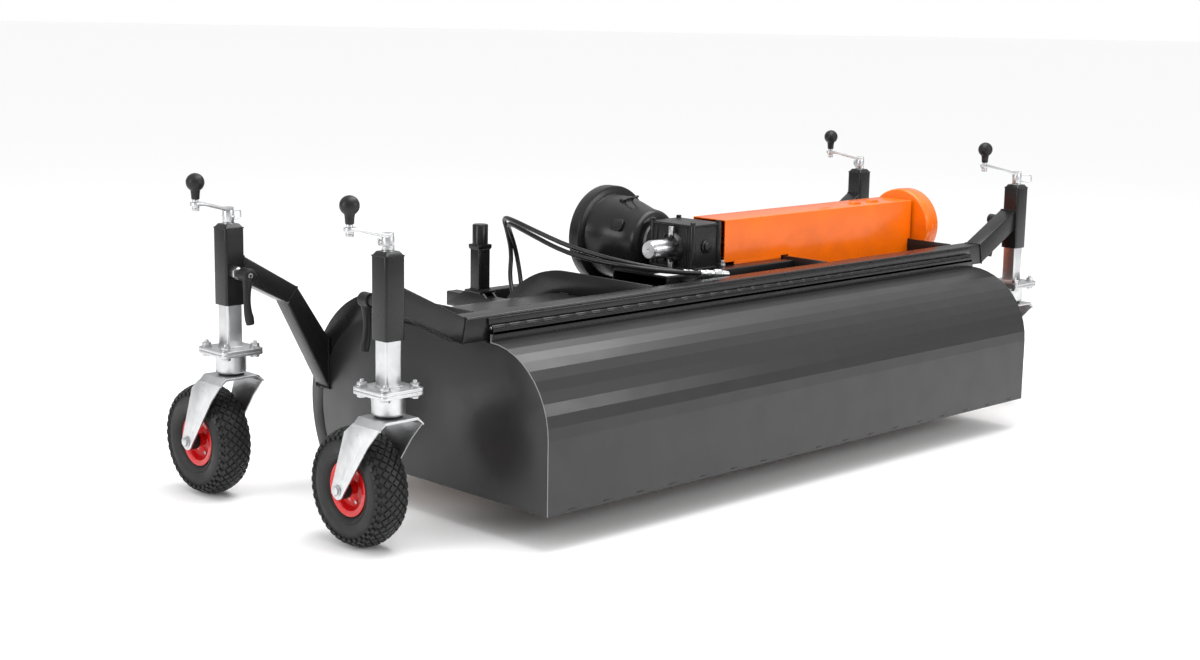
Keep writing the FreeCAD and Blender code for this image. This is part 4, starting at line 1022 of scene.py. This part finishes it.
BAILS = {"front_left": ring_bail, "front_right": long_bail, "rear_left": long_bail,
         "rear_right": ring_bail}
for corner, (side_x, end, x, y, angle) in CORNERS.items():
    crank = together(crank_shape(), BAILS[corner]())
    finish(move(move(crank, turn=angle), x, y), corner + "_crank_bar", corner + "_crank",
           "bright zinc", corner + "_crank")
    finish(move(move(knob_shape(), turn=angle), x, y), corner + "_ball_knob", corner + "_knob",
           "knob plastic", corner + "_crank_knob", crease=50)
print("four cranks with knobs")

# %% Clamp levers
def lever_shape():
    """Hub, neck and curved handle, in front of a clamp nut that faces +Y."""
    start = POST / 2 + 28
    hub = lathe([(0, start), (13.4, start), (16, start + 2), (15.4, start + 14), (16, start + 26),
                 (15.6, start + 30), (13.5, start + 31.8), (7.2, start + 31.8), (6.8, start + 28),
                 (0, start + 28)], axis="Y", steps=40)
    neck = rod((0, POST / 2 + 13, 0), (0, start + 2, 0), 9.4, 12, edge=0.5)
    path = [(0, start + 18, 4), (2, start + 23, -8), (7, start + 29, -30), (9, start + 31, -56),
            (7, start + 31, -82), (2, start + 30, -100), (0.5, start + 30, -110)]
    handle = tapered(path, [14.5, 13.5, 9.6, 8.4, 9.6, 11.6, 9.5], sides=6, flat=0.8)
    return together(hub, neck, handle)


def socket_screw():
    start = POST / 2 + 55
    return lathe([(0, start), (6.4, start), (6.4, start + 3.6), (5.8, start + 4.4), (3.4, start + 4.4),
                  (3.2, start + 1.2), (0, start + 1.2)], axis="Y", steps=32)


for corner, (side_x, end, x, y, angle) in CORNERS.items():
    turn = 0 if end == "front" else 180
    finish(move(move(lever_shape(), turn=turn), x, y, CLAMP_Z), corner + "_lever_handle",
           corner + "_lever", "knob plastic", corner + "_clamp_lever", crease=45)
    stud = rod((0, LEG / 2 + 0.6, 0), (0, POST / 2 + 34, 0), 4.9, sides=20)
    finish(move(move(together(stud, socket_screw()), turn=turn), x, y, CLAMP_Z),
           corner + "_lever_stud", corner + "_lever", "bright zinc")
print("four clamp levers")

# %% [markdown]
# ## Gearbox
# The gearbox is a black casting: a box with a round column at each upright corner for the cover
# bolts, round bosses for the shafts, and a filler plug. Columns, lips and bosses are separate
# shapes that overlap, which is how a pattern maker builds such a casting too.

# %% Gearbox, shaft cap and bridge
DRIVE_Y, DRIVE_Z, GEAR = 255, 532, 52
GEAR_FRONT, GEAR_BACK, GEAR_LOW, GEAR_HIGH = 182, 328, 478, 596
GEAR_CORNERS = [(i * (GEAR - 4), y) for i in (-1, 1) for y in (GEAR_FRONT + 4, GEAR_BACK - 4)]


def gearbox_shape():
    case = block(-GEAR + 1, GEAR - 1, GEAR_FRONT + 2, GEAR_BACK - 2, GEAR_LOW + 1, GEAR_HIGH - 2,
                 edge=4, segments=3)
    lips = [block(-GEAR - 2, GEAR + 2, GEAR_FRONT, GEAR_BACK + 1, z, z + 7, edge=2.4, segments=3)
            for z in (GEAR_LOW + 0.4, GEAR_HIGH - 8)]
    columns = [rod((x, y, GEAR_LOW + 1), (x, y, GEAR_HIGH - 0.5), 7.4, edge=1.4)
               for x, y in GEAR_CORNERS]
    bosses = [lathe([(0, GEAR - 4), (47, GEAR - 4), (46, GEAR + 8), (44, GEAR + 11.6),
                     (30, GEAR + 11.8), (28, GEAR + 11.8), (0, GEAR + 11.8)],
                    (0, DRIVE_Y, DRIVE_Z), "X", 56)]
    bosses.append(lathe([(0, -GEAR + 4), (44, -GEAR + 4), (40, -GEAR - 6), (36, -GEAR - 11.6),
                         (0, -GEAR - 11.8)], (0, DRIVE_Y, DRIVE_Z), "X", 56))
    for i in range(8):
        angle = math.radians(45 * i + 22.5)
        spot = (DRIVE_Y + 33 * math.cos(angle), DRIVE_Z + 33 * math.sin(angle))
        bosses.append(rod((-GEAR - 10, *spot), (-GEAR - 16.5, *spot), 5.6, sides=6, edge=0.8))
    bosses.append(lathe([(17.5, GEAR_BACK - 4), (48, GEAR_BACK - 4), (47.9, GEAR_BACK + 30),
                         (46, GEAR_BACK + 32), (20, GEAR_BACK + 32), (17.5, GEAR_BACK + 30)],
                        (0, 0, DRIVE_Z), "Y", 56, True))
    ribs = [block(-GEAR - 1.4, -GEAR + 3, DRIVE_Y + 17 * i - 2, DRIVE_Y + 17 * i + 2, GEAR_LOW + 8,
                  GEAR_HIGH - 10, edge=1.2) for i in (-3, 3)]
    return together(case, *lips, *columns, *bosses, *ribs)


def gearbox_bolts():
    bolts = []
    for x, y in GEAR_CORNERS:
        bolts.append(rod((x, y, GEAR_HIGH - 0.6), (x, y, GEAR_HIGH + 5.6), 7.2, sides=6, edge=0.9))
        bolts.append(rod((x, y, GEAR_LOW + 8), (x, y, GEAR_LOW + 13), 8.6, sides=6, edge=0.9))
    level = DRIVE_Z + 6
    plug = lathe([(0, -2), (18, -2), (18, 1.6), (16.4, 2.6), (0, 2.6)], (0, GEAR_FRONT, level), "Y",
                 32)
    move(plug, turn=180, about=(0, GEAR_FRONT, level))
    head = rod((0, GEAR_FRONT - 2, level), (0, GEAR_FRONT - 8.4, level), 14.4, sides=6, edge=1.2)
    return together(plug, head, *bolts)


finish(gearbox_shape(), "gearbox_casting", "chassis", "casting black", "gearbox")
finish(gearbox_bolts(), "gearbox_bolts", "chassis", "casting black")
cap = lathe([(16, -64), (24, -64), (24, -128), (23.2, -130), (21.6, -131.4), (21.4, -135.6),
             (20.4, -136.9), (3, -136.9), (0, -133.5)], (0, DRIVE_Y, DRIVE_Z), "X", 64)
finish(cap, "turned_cap", "chassis", "turned steel", "shaft_cap", crease=25)

BRIDGE, BRIDGE_TOP = (-164, 324), 478
bridge_top = block(*BRIDGE, 160, 352, BRIDGE_TOP - 5, BRIDGE_TOP, edge=0)
front_edges = [e for e in bridge_top.edges if all(v.co.z > BRIDGE_TOP - 1 for v in e.verts)
               and abs(e.verts[0].co.x - e.verts[1].co.x) > 50]
rounded(bridge_top, front_edges, 4.4)
walls = [block(*BRIDGE, y, y + 4.8, DECK + 0.2, 474.5, edge=0.5) for y in (160.1, 347.1)]
shelf = block(-118, 14, 78, 161, 462.2, 465.8)
gusset = slab([(79, 462.5), (160.5, 462.5), (160.5, 440)], "YZ", -54, 4)
feet = [bead([(-160, y, DECK + 1), (320, y, DECK + 1)], 2.6, 4) for y in (159, 353)]
clips = [rod((x, 120, 465.5), (x, 120, 472), 5.4, sides=6) for x in (-100, -8)]
finish(together(bridge_top, *walls, shelf, gusset, *feet, *clips), "bridge_channel", "chassis",
       "frame black", "gearbox_bridge")
side_bolt = [rod((76, 196, 486), (76, 196, 495), 8, sides=6),
             rod((76, 196, 479), (76, 196, 486), 10)]
finish(together(*side_bolt), "bridge_bolt", "chassis", "bright zinc")
plate_corners = [(-158, 168), (-84, 168), (-84, 214), (-158, 214)]
blank = slab(plate_corners, "XY", BRIDGE_TOP - 0.1, 0.7, corner=3, edge=0)
finish(blank, "blank_plate", "chassis", "label white")
print("gearbox and bridge")

# %% [markdown]
# ## Power take-off guard and shafts
# The guard is a deep plastic bell with a stepped rim. It is one closed profile, spun round the
# shaft, so that its inside is as finished as its outside. Two slot frames and a wire latch sit on
# it. The output shaft has six splines and a locking groove.

# %% Guard, bracket and splined shaft
NECK_Y, END_Y = 380, 550


def bell_shape():
    outer = [(48.2, 354.4), (66, 355.6), (73, 358), (78, 362), (81, 368), (82.4, 376),
             (83.4, NECK_Y + 6), (86, NECK_Y + 20), (92, NECK_Y + 40), (100, NECK_Y + 66),
             (107.4, NECK_Y + 94), (109.4, 508), (111, 511), (127, 513), (130.6, 515.2), (131.8, 519),
             (131.8, END_Y - 3), (130.6, END_Y - 0.6)]
    inner = [(128.6, END_Y - 0.6), (128, END_Y - 3), (128, 521), (126.6, 518), (109, 516),
             (105.6, 511), (103.6, NECK_Y + 94), (96, NECK_Y + 66), (88, NECK_Y + 40), (81, NECK_Y + 16),
             (80, NECK_Y), (79.6, 370), (76, 363), (68, 360.4), (48.2, 358.6)]
    return lathe(outer + inner, (0, 0, DRIVE_Z), "Y", 96, closed=True)


def bell_fittings():
    """The raised frames of two slots, and the latch's foot and wire loop."""
    frame_bars = []
    for turn in (-62, 150):
        pad = block(-16, 16, 402, 440, 84, 98, edge=5, segments=4)
        hollow = block(-10, 10, 408, 434, 96, 99.2, edge=4, segments=3)
        for shape in (pad, hollow):
            frame_bars.append(move(move(shape, turn=turn, axis="Y"), z=DRIVE_Z))
    loop = [(-14, 452, 98), (-15, 440, 108), (-13, 424, 112), (-6, 416, 113), (6, 416, 113),
            (13, 424, 112), (15, 440, 108), (14, 452, 98)]
    wire = move(move(tapered(loop, [2.6] * 8), turn=-8, axis="Y"), z=DRIVE_Z)
    foot = block(-20, 20, 446, 462, 92, 108, edge=3, segments=3)
    move(move(foot, turn=-8, axis="Y"), z=DRIVE_Z)
    return together(wire, foot, *frame_bars)


finish(bell_shape(), "guard_bell", "chassis", "bell plastic", "pto_bell", crease=35)
finish(bell_fittings(), "guard_fittings", "chassis", "bell plastic")
collar = lathe([(48.1, 345.2), (53, 345.2), (53, 354), (48.1, 354)], (0, 0, DRIVE_Z), "Y", 48, True)
tabs = [block(-GEAR - 15, -GEAR - 9, 238, 252, low, high, edge=1)
        for low, high in ((DRIVE_Z - 52, DRIVE_Z - 28), (DRIVE_Z + 30, DRIVE_Z + 56))]
finish(together(collar, *tabs), "guard_bracket", "chassis", "bright zinc", "bell_bracket")


def spline_section():
    """Six splines, as a gear-like outline round the shaft."""
    points = []
    for i in range(6):
        middle = 60 * i
        points += arc(0, DRIVE_Z, 17.3, middle - 9, middle + 9, 3)
        points += arc(0, DRIVE_Z, 14.4, middle + 13, middle + 47, 5)
    return points


splines = slab(spline_section(), "XZ", 372, 44, edge=0.4)
land = lathe([(0, 290), (17.3, 290), (17.3, 371), (14, 372), (14, 407), (14, 416), (17.3, 417.4),
              (17.3, 444), (15.6, 445.9), (3, 445.9), (0, 443)], (0, 0, DRIVE_Z), "Y", 48)
finish(together(splines, land), "splined_shaft", "pto", "turned steel", "pto_shaft")
cross = rod((-62, DRIVE_Y, DRIVE_Z), (948, DRIVE_Y, DRIVE_Z), 14.8)


def chain_wheel(radius, bevel, y, z, steps):
    """A disc in the chain's plane, with bevelled faces."""
    face = radius - bevel
    return lathe([(0, 926), (face, 926), (radius, 928), (radius, 931), (face, 933), (0, 933)],
                 (0, y, z), "X", steps)


sprocket = chain_wheel(33, 2, DRIVE_Y, DRIVE_Z, 26)
finish(together(cross, sprocket), "cross_shaft_bar", "cross_shaft", "turned steel", "drive_shaft")
print("guard and shafts")

# %% [markdown]
# ## Drive covers
# The shaft cover is a folded orange channel, open at the gearbox end, so it is made as a bent
# section pulled along the shaft: the inside shows. The chain's case is a closed box with rounded
# edges round two sprockets of different size.

# %% Shaft cover and chain case
COVER = (90, 894, 200, 311, 596, 487)  # left, right, front, back, top, lower edge


def channel(left, right, low):
    """One length of the folded channel: two walls under a top, with rounded folds."""
    front, back, top = COVER[2:5]
    section = [(front, low), (front, top), (back, top), (back, low), (back - 2, low),
               (back - 2, top - 2), (front + 2, top - 2), (front + 2, low)]
    shape = slab(section, "YZ", left, right - left, edge=0)
    folds = [e for e in shape.edges if abs(e.verts[0].co.x - e.verts[1].co.x) > 5
             and all(v.co.z > top - 3 for v in e.verts)]
    return rounded(shape, folds, 1.9)


def cover_shape():
    left, right, front, back, top, low = COVER
    step, rib_face = RIB_X + 20, HALF - PLATE - RIB_THICK - 1
    lengths = [channel(left, step, low), channel(step, rib_face, DECK + 0.3),
               channel(rib_face, right, low)]
    feet = [block(130, RIB_X - 10, y, y + 2.8, 478.2, low + 2, edge=0.4)
            for y in (front + 0.1, back - 2.9)]
    lugs = [slab([(x, top - 1), (x + 42, top - 1), (x + 30, top + 6.5), (x + 4, top + 6.5)], "XZ",
                 232, 20, edge=2, segments=3) for x in (664, 744)]
    return together(*lengths, *feet, *lugs)


CASE_TOP, CASE_BOTTOM = (252, 520), (357, 245)


def case_outline(grow=0):
    """Two arcs joined by their tangents, seen from the left."""
    (y1, z1), r1, (y2, z2), r2 = CASE_TOP, 103 + grow, CASE_BOTTOM, 101 + grow
    lean = math.degrees(math.atan2(z2 - z1, y2 - y1))
    open_by = math.degrees(math.acos((r1 - r2) / math.hypot(y2 - y1, z2 - z1)))
    upper = arc(y1, z1, r1, lean + open_by, lean + 360 - open_by, 40)
    lower = arc(y2, z2, r2, lean - open_by, lean + open_by, 36)
    return upper + lower


finish(cover_shape(), "orange_cover", "chassis", "cover orange", "shaft_cover", crease=35)
case = slab(case_outline(-0.1), "YZ", 903, 57, edge=0)
rims = [e for e in case.edges if e.calc_face_angle(0) > 1.2]
rounded(case, rims, 5)
band = slab(case_outline(0.6), "YZ", 922, 10, edge=0.4)
neck = lathe([(30, 897.2), (53.6, 897.2), (53.6, 905), (30, 905)], (0, 357, 245), "X", 48, True)
finish(together(case, band, neck), "orange_case", "chassis", "cover orange", "chain_case", crease=30)


def case_screws(y, z, radius, angles):
    """Screw heads on the case's outer face."""
    turned = [math.radians(angle) for angle in angles]
    spots = [(y + radius * math.cos(a), z + radius * math.sin(a)) for a in turned]
    return [rod((959, *spot), (963.5, *spot), 6.5, sides=6) for spot in spots]


screws = [*case_screws(*CASE_TOP, 88, (20, 80, 140, 200)),
          *case_screws(*CASE_BOTTOM, 86, (230, 290, 350))]
finish(together(*screws), "cover_screws", "chassis", "bright zinc")
print("covers")

# %% [markdown]
# ## Brush
# The brush is a steel tube with rings of stiff plastic bristles. Each ring is a star of thin
# tapered tufts: one tuft is drawn and the rest are spun from it, so the ring stays light. The
# tube, its chain wheel and the bristles turn; the bearings stay with the side plates.

# %% Brush, bearings and chain
BRUSH_Y, BRUSH_Z, BRUSH_R, BRUSH_HALF, RINGS, TUFTS = 357, 245, 165, 872, 48, 72
painted("bristle plastic", "bristle", (0.46, 0.20, 0.06), 0.5, scale=500, depth=0.3, dust=0.3,
        spread=0.1)


def bristle_rings():
    sleeve = lathe([(60, -856), (64, -856), (64, 856), (60, 856)], steps=48, closed=True)
    shapes = [move(sleeve, turn=90, axis="Y")]
    rng = random.Random(7)
    for i in range(RINGS):
        at = -BRUSH_HALF + 18 + 36 * i
        ring = bmesh.new()
        bmesh.ops.create_cone(ring, cap_ends=True, segments=5, radius1=2.6, radius2=4.6,
                              depth=BRUSH_R - 63)
        bmesh.ops.translate(ring, vec=(0, 0, (BRUSH_R + 61) / 2), verts=ring.verts)
        bmesh.ops.rotate(ring, cent=(0, 0, 62), matrix=Matrix.Rotation(0.09 * (-1) ** i, 3, "X"),
                         verts=ring.verts)
        move(ring, turn=rng.uniform(0, 5), axis="Y")
        ring_of(ring, TUFTS, axis=(0, 1, 0))
        shapes.append(move(move(ring, turn=-90), x=at))
    return move(together(*shapes), 0, BRUSH_Y, BRUSH_Z)


finish(bristle_rings(), "bristle_rings", "brush", "bristle plastic", "bristles")
core = rod((-BRUSH_HALF, BRUSH_Y, BRUSH_Z), (BRUSH_HALF, BRUSH_Y, BRUSH_Z), 59.8, sides=48, edge=2)
stubs = rod((-HALF - 20, BRUSH_Y, BRUSH_Z), (937, BRUSH_Y, BRUSH_Z), 19.9, edge=1)
finish(together(core, stubs, chain_wheel(76, 3, BRUSH_Y, BRUSH_Z, 60)), "brush_tube", "brush",
       "turned steel", "brush_core")
bearings = []
for start, depth in ((-HALF - 16, 16), (HALF - PLATE - 14, 14)):
    profile = [(20.2, start + 0.1), (24, start + 0.1), (27, start + 4), (40, start + 6),
               (44, start + 9), (44, start + depth - 0.1), (20.2, start + depth - 0.1)]
    bearings.append(lathe(profile, (0, BRUSH_Y, BRUSH_Z), "X", 48, True))
finish(together(*bearings), "flange_bearings", "chassis", "casting black", "brush_bearings")
# The chain keeps the shape it has in the model and only takes a finish.
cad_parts["chain"].material_slots[0].material = FINISHES["turned steel"][0]
print("brush")

# %% [markdown]
# ## Hitch
# Two uprights carry the stubs that the vehicle's lift arms take. Each has a base plate, a pair of
# gussets and a welded collar.

# %% Hitch frame
HITCH_X, HITCH_Y, HITCH_LOW, COLLAR, HITCH_TOP = 209, 812, 370, 484, 548


def hitch_side(x):
    y = HITCH_Y
    half = 20
    post = square(x, y, half)
    upright = slab(post, "XY", HITCH_LOW - 0.5, COLLAR - HITCH_LOW + 0.5, corner=5, edge=0.6)
    wide = [(x + (u - x) * 1.175, y + (v - y) * 1.175) for u, v in post]
    ring = slab(wide, "XY", COLLAR, 10, corner=5, edge=1)
    stub = lathe([(0, COLLAR + 2), (21.2, COLLAR + 2), (21.2, HITCH_TOP - 2.5),
                  (19.6, HITCH_TOP - 0.2), (0, HITCH_TOP - 0.2)], (x, y, 0), steps=48)
    base = slab([(x - 28, y - 34), (x + 28, y - 34), (x + 28, y + 34), (x - 28, y + 34)], "XY",
                HITCH_LOW - 6, 6, corner=5, edge=0.8)
    gusset = [(y - 78, 330), (y - 34, 364.8), (y + 40, 364.8), (930, 322), (y - 78, 322)]
    gussets = [slab(gusset, "YZ", start, 6) for start in (x - half, x + half - 6)]
    rail = block(x - half + 0.2, x + half - 0.2, 575, 930, 314, 354, edge=3, segments=3)
    welds = [square_seam(x, y, half - 1, z, 2.6) for z in (HITCH_LOW + 1, COLLAR - 1)]
    return together(upright, ring, stub, base, *gussets, rail, *welds)


def union_nut(route):
    """The nut that a hose leaves from, in line with its first run."""
    mouth, after = Vector(route[0]), Vector(route[1])
    return rod(mouth, mouth + (mouth - after).normalized() * 20, 9, sides=6, edge=0.8)


union = together(block(-312, -228, 560, 612, 314, 330, edge=1.2),
                 *[union_nut(route) for route in HOSES.values()])
bar = block(-HITCH_X, HITCH_X, HITCH_Y + 60, HITCH_Y + 100, 316, 352, edge=3, segments=3)
finish(together(hitch_side(-HITCH_X), hitch_side(HITCH_X), bar, union), "hitch_uprights", "chassis",
       "frame black", "hitch_frame")
print("hitch")

# %% [markdown]
# ## Floor and light
# A pale seamless floor and broad soft lights, as in a catalogue. The room is plain white, but what
# glossy paint reflects darkens towards the horizon, or black paint would look grey. None of this
# belongs to the machine.

# %% Stage
ground = bmesh.new()
bmesh.ops.create_grid(ground, x_segments=1, y_segments=1, size=60)
floor_mesh = bpy.data.meshes.new("floor")
ground.to_mesh(floor_mesh)
ground.free()
floor_paint = bpy.data.materials.new("floor paint")
floor_paint.use_nodes = True
floor_shader = floor_paint.node_tree.nodes["Principled BSDF"]
floor_shader.inputs["Base Color"].default_value = (0.97, 0.97, 0.97, 1)
floor_shader.inputs["Roughness"].default_value = 0.8
floor_mesh.materials.append(floor_paint)
floor = bpy.data.objects.new("floor", floor_mesh)
bpy.context.collection.objects.link(floor)
floor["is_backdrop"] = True

world = bpy.data.worlds.new("studio")
bpy.context.scene.world = world
world.use_nodes = True
sky = world.node_tree
soft = sky.nodes["Background"]
plain = sky.nodes.new("ShaderNodeBackground")
plain.inputs["Color"].default_value = (1, 1, 1, 1)
across = sky.nodes.new("ShaderNodeSeparateXYZ")
sky.links.new(sky.nodes.new("ShaderNodeTexCoord").outputs["Generated"], across.inputs[0])
height = stretch(sky, across.outputs["Z"], 0.0, 0.75, 0.0, 1.0)
sky.links.new(mixed(sky, height, (0.32, 0.32, 0.33), (0.95, 0.95, 0.95)), soft.inputs["Color"])
chosen = sky.nodes.new("ShaderNodeMixShader")
sky.links.new(sky.nodes.new("ShaderNodeLightPath").outputs["Is Glossy Ray"], chosen.inputs[0])
sky.links.new(plain.outputs[0], chosen.inputs[1])
sky.links.new(soft.outputs[0], chosen.inputs[2])
sky.links.new(chosen.outputs[0], sky.nodes["World Output"].inputs["Surface"])


def softbox(name, at, aimed, size, power):
    data = bpy.data.lights.new(name, "AREA")
    data.shape, data.size, data.size_y, data.energy = "RECTANGLE", size[0], size[1], power
    lamp = bpy.data.objects.new(name, data)
    bpy.context.collection.objects.link(lamp)
    lamp.location = at
    lamp.rotation_euler = (Vector(aimed) - Vector(at)).to_track_quat("-Z", "Y").to_euler()


softbox("overhead", (0.2, -0.4, 3.0), (0, 0, 0.3), (3.8, 1.6), 95)
softbox("front", (1.6, -4.2, 1.9), (0.2, 0, 0.3), (2.6, 1.0), 60)
softbox("left", (-4.4, 0.6, 1.5), (-0.4, 0, 0.4), (1.4, 2.0), 50)
bpy.context.scene.view_settings.view_transform = "Standard"
print("stage set")

# %% Measure the size
low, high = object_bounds()
